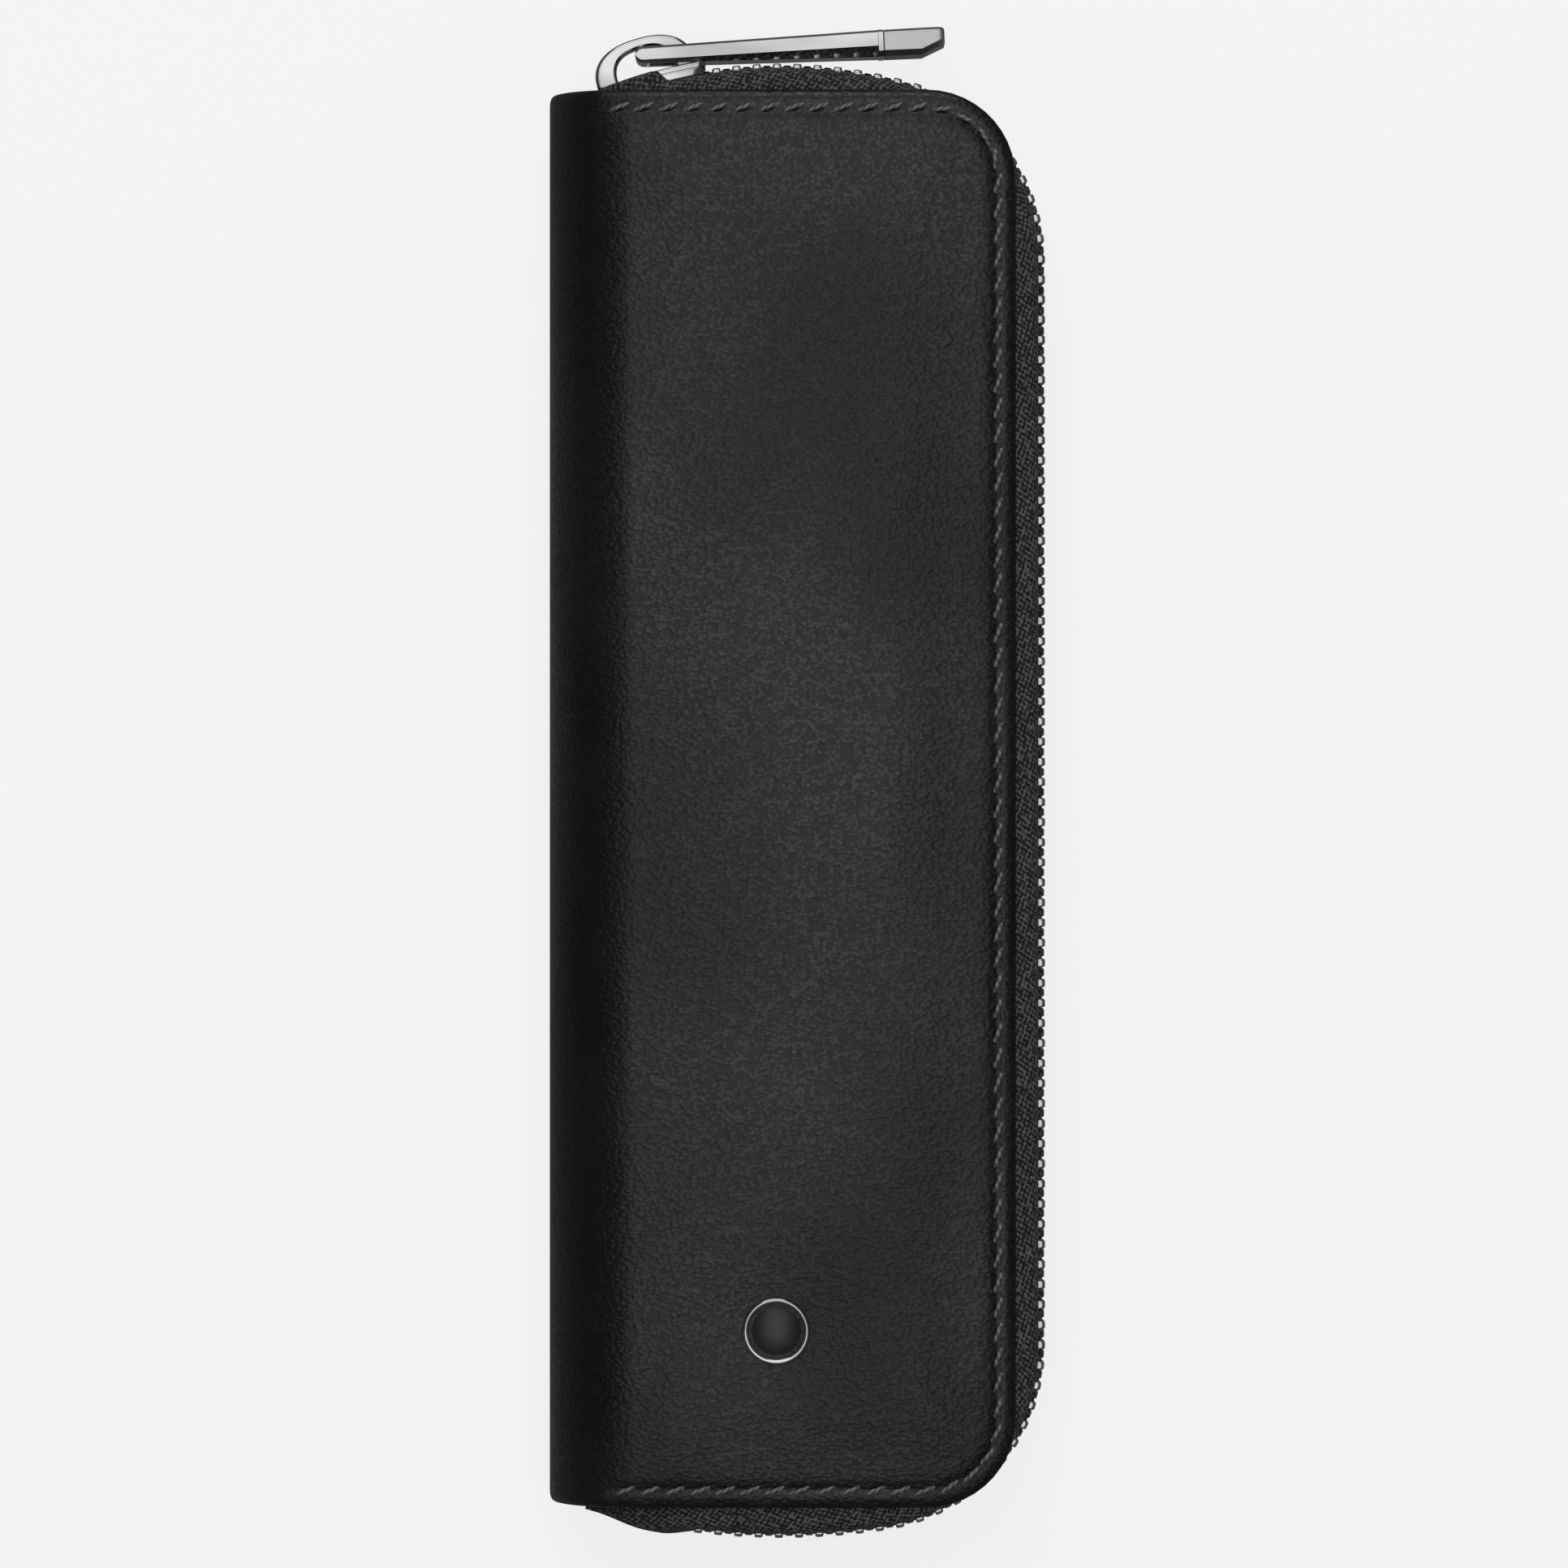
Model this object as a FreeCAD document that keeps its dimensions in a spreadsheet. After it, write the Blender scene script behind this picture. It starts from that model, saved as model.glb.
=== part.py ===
import FreeCAD, Part
import math
import os
import re
import Sketcher
from FreeCAD import Placement, Rotation, Vector

# Zip-around leather case for two fountain pens, lying on its back cover.
# +X runs from the round spine to the zip, +Y to the end where the slider parks and +Z out of the
# front cover. The origin is on the back cover's outer face, in the middle of the leather.

# Driving sizes, in millimetres, with angles in degrees
SIZES = {
    "body_length": (159.0, "leather, from end to end"),
    "body_width": (52.5, "leather, from the round spine to the zip edge"),
    "body_depth": (20.0, "outer face to outer face, which is the diameter of the round spine"),
    "corner_radius": (10.0, "rounded corners of the covers on the zip side"),
    "leather_thickness": (1.2, "outer leather"),
    "tape_thickness": (0.8, "zip tape, and the boards that fill the same layer"),
    "lining_thickness": (0.8, "inner lining"),
    "lining_inset": (0.8, "lining stops this far inside the leather's edge"),
    "seam_width": (4.0, "zip tape sewn in under the leather"),
    "board_gap": (0.3, "room between a board and the zip tape"),
    "fold_slack": (0.8, "angle left free on each side of a fold"),
    "zip_bulge": (2.6, "tape stands this far out of the leather, at the side and at the slider's end"),
    "arch_radius": (52.0, "the zip's arch along the end where the slider parks"),
    "foot_bulge": (3.1, "tape stands this far out of the leather at the other end, its foot"),
    "foot_arch_radius": (80.0, "the zip's flatter arch along the foot"),
    "zip_corner_radius": (20.0, "the zip cuts the covers' corners with this radius"),
    "tape_bend": (0.95, "bevel where the tape turns out of the seam"),
    "tape_tail": (0.3, "tape beyond its end stop, inside the hollow spine"),
    "tape_tail_width": (1.9, "height of the tape's ends there"),
    "tape_edge": (1.5, "from the middle of the chain to the tape's edge"),
    "tooth_pitch": (2.27, "from tooth to tooth in one row"),
    "tooth_width": (0.95, "along the chain"),
    "tooth_wall": (0.9, "metal on each side of the tape"),
    "tooth_head": (0.9, "reach past the middle of the chain"),
    "tooth_reach": (2.8, "from the middle of the chain to the back of a tooth"),
    "stop_width": (1.3, "end stops, along the chain"),
    "slider_angle": (13.8, "length of the slider, as an angle of the arch"),
    "slider_from_spine": (5.85, "parked slider's nose, from the outside of the spine"),
    "slider_wall": (0.8, "plates and flanges"),
    "slider_clearance": (0.2, "between the slider and the teeth or the tape"),
    "slider_edge_radius": (0.4, "outer edges of the slider"),
    "slider_nose_bevel": (1.5, "corners cut off the slider's nose"),
    "divider_width": (1.6, "post that parts the two rows of teeth"),
    "bail_width": (3.0, "arched bail on the slider"),
    "bail_rise": (4.3, "bail above the slider's plate"),
    "bail_crown": (1.15, "band of the bail at its top"),
    "bail_left_reach": (5.8, "middle of the slider to the bail's far left"),
    "bail_right_reach": (5.4, "middle of the slider to the bail's far right"),
    "bail_foot": (2.4, "length of each foot of the bail"),
    "bail_outer_radius": (3.3, "outer bend of the bail"),
    "bail_inner_radius": (2.0, "inner bend of the bail"),
    "bail_bevel": (0.3, "bevels along the edges of the bail"),
    "pull_bar": (1.8, "round bar of the pull that hangs in the bail"),
    "pull_clearance": (0.06, "between that bar and the bail"),
    "pull_rise": (8.33, "angle between the pull's middle and the line to the slider's end, under it"),
    "pull_width": (6.4, "across the pull"),
    "pull_length": (27.2, "from the bar to the grip"),
    "pull_thickness": (3.0, "at the grip"),
    "pull_eye_length": (6.6, "from the bar's middle to the end of the eye"),
    "pull_eye_gap": (0.5, "between the eye and the bail, each side"),
    "pull_bevel": (0.28, "narrow bevels along the upper edges of the pull and its grip"),
    "pull_facet_eye": (0.3, "ground facets along its lower edges, at the eye"),
    "pull_facet_grip": (1.2, "the same facets where they meet the collar"),
    "collar_length": (0.6, "raised collar of the pull, before the grip"),
    "tenon_length": (3.0, "tongue of the pull inside the grip"),
    "tenon_thickness": (1.2, "tongue of the pull inside the grip"),
    "tenon_width": (4.0, "tongue of the pull inside the grip"),
    "tenon_clearance": (0.05, "between the tongue and its socket"),
    "grip_length": (6.9, "end grip of the pull"),
    "grip_thickness": (3.0, "end grip of the pull, and the collar"),
    "grip_width": (6.8, "across the grip and the collar"),
    "grip_facet": (0.6, "facets along the lower edges of the grip and the collar"),
    "grip_undercut": (1.1, "underside of the grip rises this much to its end"),
    "grip_undercut_length": (2.6, "along the grip"),
    "grip_corner_radius": (0.5, "corners of the grip's end"),
    "stud_diameter": (7.6, "round stud on the front cover"),
    "stud_height": (1.0, "rim of the stud above the leather"),
    "stud_rim": (0.7, "width of the rim"),
    "rim_bevel": (0.22, "bevels of the rim's top"),
    "stud_disc_height": (0.6, "disc inside the rim"),
    "stud_clearance": (0.05, "between the disc and the rim, and round the stem"),
    "stud_stem_diameter": (2.0, "rivet stem through the leather"),
    "stud_from_middle": (59.6, "stud below the middle of the cover"),
    "stud_off_centre": (0.6, "stud towards the spine from the middle"),
    "washer_diameter": (6.0, "washer that the stem is riveted over"),
    "washer_thickness": (0.5, "washer that the stem is riveted over"),
    "patch_thickness": (0.6, "leather patch that carries the pen loops"),
    "patch_border": (2.0, "patch beyond the loops"),
    "loop_bore": (12.0, "inside of a pen loop"),
    "loop_band": (0.8, "band of a pen loop"),
    "loop_length": (24.0, "along the pen"),
    "loop_gap": (3.0, "between the two loops"),
    "loop_headroom": (0.4, "between the loops and the front lining"),
    "loop_from_middle": (32.0, "middle of the loops above the middle of the case"),
}

# The half-round spine bends at three folds, which turn the two covers through half a circle
FOLD_COUNT = 3
FOLD_TURN = 180 / FOLD_COUNT

# Expressions used for several pieces
SPINE_RADIUS = "body_depth / 2"
FOLD_X = "(body_depth - body_width) / 2"
LINING_FACE = "(leather_thickness + tape_thickness + lining_thickness)"
BOARD_INSET = "(seam_width + board_gap)"
FOLD_EDGE = f"({FOLD_TURN / 2} - fold_slack)"
CHAMBER_RADIUS = "(arch_radius + tooth_wall + slider_clearance)"
FLOOR_RADIUS = "(arch_radius - tape_thickness - tooth_wall - slider_clearance)"
PLATE_RADIUS = "(arch_radius + tooth_wall + slider_clearance + slider_wall)"
SLIDER_NOSE = "(asin((body_width / 2 - slider_from_spine) / arch_radius) / 1 deg)"
SLIDER_PARK = f"({SLIDER_NOSE} - slider_angle / 2)"
BAR_RADIUS = "(pull_bar / 2)"
PIVOT_RADIUS = f"({PLATE_RADIUS} + bail_rise - bail_crown - pull_clearance - {BAR_RADIUS})"
PLATE_DROP = f"({PIVOT_RADIUS} - {PLATE_RADIUS} * cos(slider_angle / 2))"
PLATE_RUN = f"({PLATE_RADIUS} * sin(slider_angle / 2))"
PULL_TURN = f"({SLIDER_PARK} + pull_rise - atan({PLATE_DROP} / {PLATE_RUN}) / 1 deg)"
ARCH_CENTRE = "(body_length / 2 + zip_bulge - arch_radius)"
LOOP_OUTER = "(loop_bore / 2 + loop_band)"
LOOP_CENTRE = f"({FOLD_X} + body_width / 2 - {BOARD_INSET}) / 2"

doc = FreeCAD.newDocument("pen_case")
sheet = doc.addObject("Spreadsheet::Sheet", "Size")
for row, (alias, (number, meaning)) in enumerate(SIZES.items(), start=1):
    sheet.set(f"A{row}", str(number))
    sheet.setAlias(f"A{row}", alias)
    sheet.set(f"B{row}", meaning)
doc.recompute()

nodes = {}


# Helpers for bound sizes, bodies and sketches

def bound(text):
    """The expression text with each size's name pointing at its cell."""
    return re.sub(r"[a-z_]+", lambda word: f"Size.{word[0]}" if word[0] in SIZES else word[0], text)


def size(text):
    """The present value of an expression of sizes."""
    return float(sheet.evalExpression(bound(text)))


def new_body(label, x="0", y="0", z="0", axis=Vector(0, 0, 1), turn="0"):
    """An empty body that stands at (x, y, z), turned about its own axis."""
    body = doc.addObject("PartDesign::Body", label)
    body.Label = label
    body.Placement = Placement(Vector(size(x), size(y), size(z)), Rotation(axis, size(turn)))
    for part_name, text in (("x", x), ("y", y), ("z", z)):
        body.setExpression(f"Placement.Base.{part_name}", bound(text))
    body.setExpression("Placement.Rotation.Angle", bound(turn))
    nodes[label] = body
    return body


def plane_of(body, role):
    return next(item for item in body.Origin.OriginFeatures if item.Role == role)


def new_sketch(body, plane, level="0"):
    """An empty sketch on one of the body's own planes, lifted by level."""
    sketch = body.newObject("Sketcher::SketchObject", f"{body.Label}_outline")
    sketch.AttachmentSupport = [(plane_of(body, plane), "")]
    sketch.MapMode = "FlatFace"
    sketch.setExpression("AttachmentOffset.Base.z", bound(level))
    return sketch


def bind_last(sketch, text):
    sketch.setExpression(f"Constraints[{sketch.ConstraintCount - 1}]", bound(text))


def arc_between(start, end, radius, side):
    """The shorter arc from start to end, with its centre to the left (+1) or right (-1)."""
    chord = end - start
    rise = math.sqrt(max(radius * radius - chord.Length ** 2 / 4, 0))
    left = Vector(-chord.y, chord.x, 0).normalize()
    centre = (start + end) / 2 + left * (side * rise)
    circle = Part.Circle(centre, Vector(0, 0, 1), radius)
    ends = [math.atan2(point.y - centre.y, point.x - centre.x) for point in (start, end)]
    if side < 0:
        ends.reverse()
    if ends[1] < ends[0]:
        ends[1] += 2 * math.pi
    return Part.ArcOfCircle(circle, ends[0], ends[1])


def draw_loop(sketch, corners):
    """Draw a closed outline. A corner is (x, y), or (x, y, radius, side) where an arc follows."""
    first = sketch.GeometryCount
    points = [Vector(size(corner[0]), size(corner[1]), 0) for corner in corners]
    start_ends = []
    for corner, here, there in zip(corners, points, points[1:] + points[:1]):
        if len(corner) == 2:
            sketch.addGeometry(Part.LineSegment(here, there))
            start_ends.append(1)
        else:
            sketch.addGeometry(arc_between(here, there, size(corner[2]), corner[3]))
            start_ends.append(1 if corner[3] > 0 else 2)
    count = len(corners)
    for index, corner in enumerate(corners):
        edge = first + index
        following = (index + 1) % count
        sketch.addConstraint(Sketcher.Constraint(
            "Coincident", edge, 3 - start_ends[index], first + following, start_ends[following]))
        for kind, text in (("DistanceX", corner[0]), ("DistanceY", corner[1])):
            sketch.addConstraint(Sketcher.Constraint(kind, -1, 1, edge, start_ends[index], size(text)))
            bind_last(sketch, text)
        if len(corner) > 2:
            sketch.addConstraint(Sketcher.Constraint("Radius", edge, size(corner[2])))
            bind_last(sketch, corner[2])


def draw_circle(sketch, diameter, x="0", y="0"):
    index = sketch.addGeometry(Part.Circle(Vector(size(x), size(y), 0), Vector(0, 0, 1), size(diameter) / 2))
    for kind, text in (("DistanceX", x), ("DistanceY", y)):
        sketch.addConstraint(Sketcher.Constraint(kind, -1, 1, index, 3, size(text)))
        bind_last(sketch, text)
    sketch.addConstraint(Sketcher.Constraint("Diameter", index, size(diameter)))
    bind_last(sketch, diameter)


def rectangle(left, right, low, high):
    return [(left, low), (right, low), (right, high), (left, high)]


def extrude(body, kind, sketch, length, middle=True, reverse=False):
    """A Pad or Pocket of the sketch, by an expression's length."""
    feature = body.newObject(f"PartDesign::{kind}", f"{body.Label}_{kind.lower()}")
    feature.Profile = sketch
    feature.Length = size(length)
    feature.setExpression("Length", bound(length))
    feature.Midplane = middle
    feature.Reversed = reverse
    doc.recompute()
    return feature


def turn(body, kind, sketch, angle, middle=False, reverse=False):
    """A Revolution or Groove of the sketch about its upright axis."""
    feature = body.newObject(f"PartDesign::{kind}", f"{body.Label}_{kind.lower()}")
    feature.Profile = sketch
    feature.ReferenceAxis = (sketch, ["V_Axis"])
    feature.Angle = size(angle)
    feature.setExpression("Angle", bound(angle))
    feature.Midplane = middle
    feature.Reversed = reverse
    doc.recompute()
    return feature


def dress_edges(body, kind, measure, text, wanted):
    """Dress every edge of the body's last feature that the test wanted accepts."""
    feature = body.Tip
    edges = [f"Edge{number}" for number, edge in enumerate(feature.Shape.Edges, start=1) if wanted(edge)]
    dressed = body.newObject(f"PartDesign::{kind}", f"{body.Label}_edges")
    dressed.Base = (feature, edges)
    setattr(dressed, measure, size(text))
    dressed.setExpression(measure, bound(text))
    doc.recompute()


def round_edges(body, radius, wanted):
    dress_edges(body, "Fillet", "Radius", radius, wanted)


def bevel_edges(body, width, wanted):
    dress_edges(body, "Chamfer", "Size", width, wanted)


def runs_along(edge, direction):
    if not isinstance(edge.Curve, Part.Line):
        return False
    return abs(edge.Curve.Direction.dot(direction)) > 0.999


# The zip's course: an arch along the head end, a corner, the straight side, a corner and the foot's arch

MIDDLE = size(SPINE_RADIUS)
BEND = size("zip_corner_radius")
SIDE_X = size("body_width / 2 + zip_bulge")
BEND_X = SIDE_X - BEND
PARK = math.radians(size(SLIDER_PARK))
TAPE = size("tape_thickness")


class CourseEnd:
    """The arch across one end and the corner after it, drawn for the end at +Y.

    Heights are from the middle of the case, and tangent is the angle where the arch meets the corner."""

    def __init__(self, arch, bulge):
        self.arch = size(arch)
        self.arch_y = size("body_length / 2") + size(bulge) - self.arch
        self.bend_y = self.arch_y + math.sqrt((self.arch - BEND) ** 2 - BEND_X ** 2)
        self.tangent = math.asin(BEND_X / (self.arch - BEND))
        self.bend_run = BEND * (math.pi / 2 - self.tangent)

    def angle_at(self, x, offset):
        """The arch's angle from its crown towards the spine, at x."""
        return math.asin(-x / (self.arch + offset))

    def on_arch(self, angle, offset=0):
        return point_on(0, self.arch_y, self.arch + offset, angle)

    def on_bend(self, angle, offset=0):
        return point_on(BEND_X, self.bend_y, BEND + offset, angle)


def point_on(centre_x, centre_y, radius, angle):
    return Vector(centre_x + radius * math.sin(angle), centre_y + radius * math.cos(angle), 0)


def at_foot(point):
    """The same point at the other end of the case."""
    return Vector(point.x, -point.y, 0)


HEAD = CourseEnd("arch_radius", "zip_bulge")
FOOT = CourseEnd("foot_arch_radius", "foot_bulge")


def end_points(end, offset, left_x):
    """Three points on the arch from left_x, and three on the corner."""
    start = -end.angle_at(left_x, offset)
    shares = (0, 0.5, 1)
    arch_points = [end.on_arch(start + (end.tangent - start) * share, offset) for share in shares]
    bend_points = [end.on_bend(end.tangent + (math.pi / 2 - end.tangent) * share, offset) for share in shares]
    return arch_points, bend_points


def course_edges(offset, left_x):
    """The course from the upper left to the lower left, moved outwards by offset."""
    arch_points, bend_points = end_points(HEAD, offset, left_x)
    lower_arch, lower_bend = [[at_foot(point) for point in reversed(points)]
                              for points in end_points(FOOT, offset, left_x)]
    side = Part.LineSegment(bend_points[2], lower_bend[0])
    curves = [Part.Arc(*arch_points), Part.Arc(*bend_points), side,
              Part.Arc(*lower_bend), Part.Arc(*lower_arch)]
    return [curve.toShape() for curve in curves]


def prism(edges, low, high):
    """A closed run of edges raised into a solid between two levels."""
    wire = Part.Wire(edges)
    wire.translate(Vector(0, 0, low))
    return Part.Face(wire).extrude(Vector(0, 0, high - low))


def course_prism(offset, left_x, low, high):
    edges = course_edges(offset, left_x)
    closing = Part.LineSegment(edges[-1].Vertexes[-1].Point, edges[0].Vertexes[0].Point).toShape()
    return prism(edges + [closing], low, high)


# Leather, boards and linings of the two covers and the round spine

def cover_layer(label, outer, thickness, inset, on_front):
    """One layer of a cover: a flat panel with rounded corners that bends into the spine at the fold."""
    if on_front:
        body = new_body(label, z="body_depth", axis=Vector(1, 0, 0), turn="180")
    else:
        body = new_body(label)
    inner = f"({outer} + {thickness})"
    right = f"body_width / 2 - {inset}"
    far = f"({SPINE_RADIUS} - {outer})"
    near = f"({SPINE_RADIUS} - {inner})"
    sketch = new_sketch(body, "XZ_Plane")
    draw_loop(sketch, [
        (right, outer),
        (FOLD_X, outer, far, -1),
        (f"{FOLD_X} - {far} * sin({FOLD_EDGE})", f"{SPINE_RADIUS} - {far} * cos({FOLD_EDGE})"),
        (f"{FOLD_X} - {near} * sin({FOLD_EDGE})", f"{SPINE_RADIUS} - {near} * cos({FOLD_EDGE})", near, 1),
        (FOLD_X, inner),
        (right, inner),
    ])
    extrude(body, "Pad", sketch, f"body_length - 2 * {inset}")
    corner_x = size(right)
    round_edges(body, f"corner_radius - {inset}", lambda edge: runs_along(edge, Vector(0, 0, 1))
                and abs(edge.CenterOfMass.x - corner_x) < 0.01)
    return body


def spine_layer(label, outer, thickness, inset, strip):
    """One layer of a strip of the spine, from the fold before it to the fold after it."""
    body = new_body(label, x=FOLD_X, z=SPINE_RADIUS)
    far = f"({SPINE_RADIUS} - {outer})"
    near = f"({SPINE_RADIUS} - {outer} - {thickness})"
    first = f"({FOLD_TURN * (strip + 0.5)} + fold_slack)"
    last = f"({FOLD_TURN * (strip + 1.5)} - fold_slack)"
    sketch = new_sketch(body, "XZ_Plane")
    draw_loop(sketch, [
        (f"-{far} * sin({first})", f"-{far} * cos({first})", far, -1),
        (f"-{far} * sin({last})", f"-{far} * cos({last})"),
        (f"-{near} * sin({last})", f"-{near} * cos({last})", near, 1),
        (f"-{near} * sin({first})", f"-{near} * cos({first})"),
    ])
    extrude(body, "Pad", sketch, f"body_length - 2 * {inset}")


def trim_to_zip(blank, label):
    """The blank of a lining, cut back to the inside of the zip tape."""
    inside = doc.addObject("Part::Feature", f"{label}_limit")
    inside.Shape = course_prism(-TAPE - size("board_gap"), size("-body_width / 2"), 0, size("body_depth"))
    trimmed = doc.addObject("Part::Common", label)
    trimmed.Label = label
    trimmed.Base = blank
    trimmed.Tool = inside
    nodes.pop(blank.Label)
    nodes[label] = trimmed


def drill(body, diameter, x, y, depth):
    """A round hole through a cover layer, square to the cover."""
    sketch = new_sketch(body, "XY_Plane")
    draw_circle(sketch, diameter, x, y)
    volume = body.Shape.Volume
    extrude(body, "Pocket", sketch, depth, middle=False, reverse=True)
    assert body.Shape.Volume < volume, f"{body.Label}: the hole cut nothing"


TAPE_OUTER = "leather_thickness"
LINING_OUTER = "(leather_thickness + tape_thickness)"
for cover in ("back", "front"):
    is_front = cover == "front"
    leather = cover_layer(f"{cover}_cover_leather", "0", "leather_thickness", "0", is_front)
    board = cover_layer(f"{cover}_cover_board", TAPE_OUTER, "tape_thickness", BOARD_INSET, is_front)
    blank = cover_layer(f"{cover}_lining_blank", LINING_OUTER, "lining_thickness", "lining_inset", is_front)
    trim_to_zip(blank, f"{cover}_cover_lining")
    if is_front:
        # The covers are drawn from their outer face, so the stud's place is mirrored here
        drill(leather, "stud_stem_diameter + 2 * stud_clearance", "-stud_off_centre", "stud_from_middle",
              LINING_FACE)
        drill(board, "washer_diameter + 2 * board_gap", "-stud_off_centre", "stud_from_middle", LINING_FACE)
for strip, half in enumerate(("back", "front")):
    spine_layer(f"spine_{half}_leather", "0", "leather_thickness", "0", strip)
    spine_layer(f"spine_{half}_stiffener", TAPE_OUTER, "tape_thickness", BOARD_INSET, strip)
    spine_layer(f"spine_{half}_lining", LINING_OUTER, "lining_thickness", "lining_inset", strip)


# Zip tapes

def seam_prism(low, high):
    """Everything inside the zip's seam allowance."""
    inset = size("seam_width")
    half_width = size("body_width / 2") - inset
    half_length = size("body_length / 2") - inset
    radius = size("corner_radius") - inset
    box = Part.makeBox(2 * half_width, 2 * half_length, high - low, Vector(-half_width, -half_length, low))
    corners = [edge for edge in box.Edges if runs_along(edge, Vector(0, 0, 1)) and edge.CenterOfMass.x > 0]
    return box.makeFillet(radius, corners)


def tail_prisms(low, high):
    """The two ends of a tape that run on into the hollow spine."""
    fold_x = size(FOLD_X)
    past_nose = size("slider_clearance + stop_width + tape_tail")
    tail_x = HEAD.on_arch(-math.radians(size(SLIDER_NOSE)) - past_nose / HEAD.arch).x
    solids = []
    for end in (HEAD, FOOT):
        outer, inner = [[end.on_arch(-end.angle_at(x, offset), offset)
                         for x in (fold_x, (fold_x + tail_x) / 2, tail_x)] for offset in (0, -TAPE)]
        if end is FOOT:
            outer, inner = [[at_foot(point) for point in outline] for outline in (outer, inner)]
        edges = [Part.Arc(*outer).toShape(), Part.LineSegment(outer[2], inner[2]).toShape(),
                 Part.Arc(*reversed(inner)).toShape(), Part.LineSegment(inner[0], outer[0]).toShape()]
        solids.append(prism(edges, low, high))
    return solids


def upper_half(shape):
    """The same shape for the front half, mirrored through the middle of the chain."""
    return shape.mirror(Vector(0, 0, MIDDLE), Vector(0, 0, 1))


def tape_shell():
    """The back tape: sewn in flat under the leather, then bent out and up to the chain."""
    low = size(TAPE_OUTER)
    high = size(f"{SPINE_RADIUS} - tape_edge")
    left_x = size(FOLD_X)
    shell = course_prism(0, left_x, low, high)
    shell = shell.cut(course_prism(-TAPE, left_x - TAPE, low + TAPE, high + TAPE))
    shell = shell.cut(seam_prism(low - TAPE, high + TAPE))
    course = Part.Wire(course_edges(0, left_x))
    course.translate(Vector(0, 0, low))

    def on_outer_bottom(edge):
        middle = edge.valueAt((edge.FirstParameter + edge.LastParameter) / 2)
        return all(course.distToShape(Part.Vertex(point))[0] < 0.001
                   for point in [middle] + [vertex.Point for vertex in edge.Vertexes])

    return shell.makeChamfer(size("tape_bend"), [edge for edge in shell.Edges if on_outer_bottom(edge)])


def add_shape(label, shape, place=Placement()):
    """A sub-part whose shape follows the zip's course."""
    feature = doc.addObject("Part::Feature", label)
    feature.Label = label
    feature.Shape = shape
    feature.Placement = place
    nodes[label] = feature


shell = tape_shell()
tail_top = size(f"{SPINE_RADIUS} - tape_edge")
tails = tail_prisms(tail_top - size("tape_tail_width"), tail_top)
add_shape("back_zip_tape", shell.multiFuse(tails).removeSplitter())
add_shape("front_zip_tape", upper_half(shell))
add_shape("front_zip_tape_ends", Part.makeCompound([upper_half(tail) for tail in tails]))


# Teeth and stops, each forked over the tape's edge

ARCH_RUN = HEAD.arch * (PARK + HEAD.tangent)
SIDE_START = ARCH_RUN + HEAD.bend_run
SIDE_END = SIDE_START + HEAD.bend_y + FOOT.bend_y
FOOT_START = SIDE_END + FOOT.bend_run
END_ANGLE = FOOT.angle_at(size(f"{FOLD_X} - stop_width"), 0)
COURSE_RUN = FOOT_START + FOOT.arch * (FOOT.tangent + END_ANGLE)


def course_place(distance):
    """Where a tooth stands after this distance from the parked slider's middle, facing outwards."""
    if distance < ARCH_RUN:
        angle = distance / HEAD.arch - PARK
        point = HEAD.on_arch(angle)
    elif distance < SIDE_START:
        angle = HEAD.tangent + (distance - ARCH_RUN) / BEND
        point = HEAD.on_bend(angle)
    elif distance < SIDE_END:
        angle = math.pi / 2
        point = Vector(SIDE_X, HEAD.bend_y - (distance - SIDE_START), 0)
    else:
        if distance < FOOT_START:
            foot_angle = math.pi / 2 - (distance - SIDE_END) / BEND
            point = at_foot(FOOT.on_bend(foot_angle))
        else:
            foot_angle = FOOT.tangent - (distance - FOOT_START) / FOOT.arch
            point = at_foot(FOOT.on_arch(foot_angle))
        angle = math.pi - foot_angle
    return Placement(point, Rotation(Vector(0, 0, 1), 90 - math.degrees(angle)))


def forked_clip(width, head):
    """A clip over the tape's edge, drawn on the back half, that reaches up to the level head."""
    wall = size("tooth_wall")
    back = MIDDLE - size("tooth_reach")
    edge = MIDDLE - size("tape_edge")
    profile = [(-TAPE - wall, back), (-TAPE, back), (-TAPE, edge), (0, edge), (0, back), (wall, back),
               (wall, head), (-TAPE - wall, head)]
    points = [Vector(x, -width / 2, z) for x, z in profile]
    return Part.Face(Part.makePolygon(points + points[:1])).extrude(Vector(0, width, 0))


def placed(shape, place):
    copy = shape.copy()
    copy.Placement = place
    return copy


pitch = size("tooth_pitch")
tooth = forked_clip(size("tooth_width"), MIDDLE + size("tooth_head"))
teeth_in_row = int(COURSE_RUN / pitch)
for row, clip, lead in (("back", tooth, 0.75), ("front", upper_half(tooth), 0.25)):
    places = [pitch * (number + lead) for number in range(teeth_in_row)]
    top_run = [placed(clip, course_place(place)) for place in places if place < ARCH_RUN]
    long_run = [placed(clip, course_place(place)) for place in places if place >= ARCH_RUN]
    add_shape(f"{row}_zip_teeth_top_run", Part.makeCompound(top_run))
    add_shape(f"{row}_zip_teeth", Part.makeCompound(long_run))

stop_width = size("stop_width")
stop = forked_clip(stop_width, MIDDLE - size("divider_width / 2 + slider_clearance"))
slider_half = math.radians(size("slider_angle / 2"))
top_stop_place = -HEAD.arch * slider_half - stop_width / 2 - size("slider_clearance")
add_shape("back_top_stop", stop, course_place(top_stop_place))
add_shape("front_top_stop", upper_half(stop), course_place(top_stop_place))
bottom_stop = forked_clip(stop_width, MIDDLE + size("tape_edge - slider_clearance"))
add_shape("bottom_stop", bottom_stop, course_place(COURSE_RUN + stop_width))


# Slider with its channel, on the arch of the zip

def slider_frame(label):
    """A body at the arch's centre, turned so that its Y axis runs through the slider's middle."""
    return new_body(label, y=ARCH_CENTRE, z=SPINE_RADIUS, turn=SLIDER_PARK)


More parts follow.
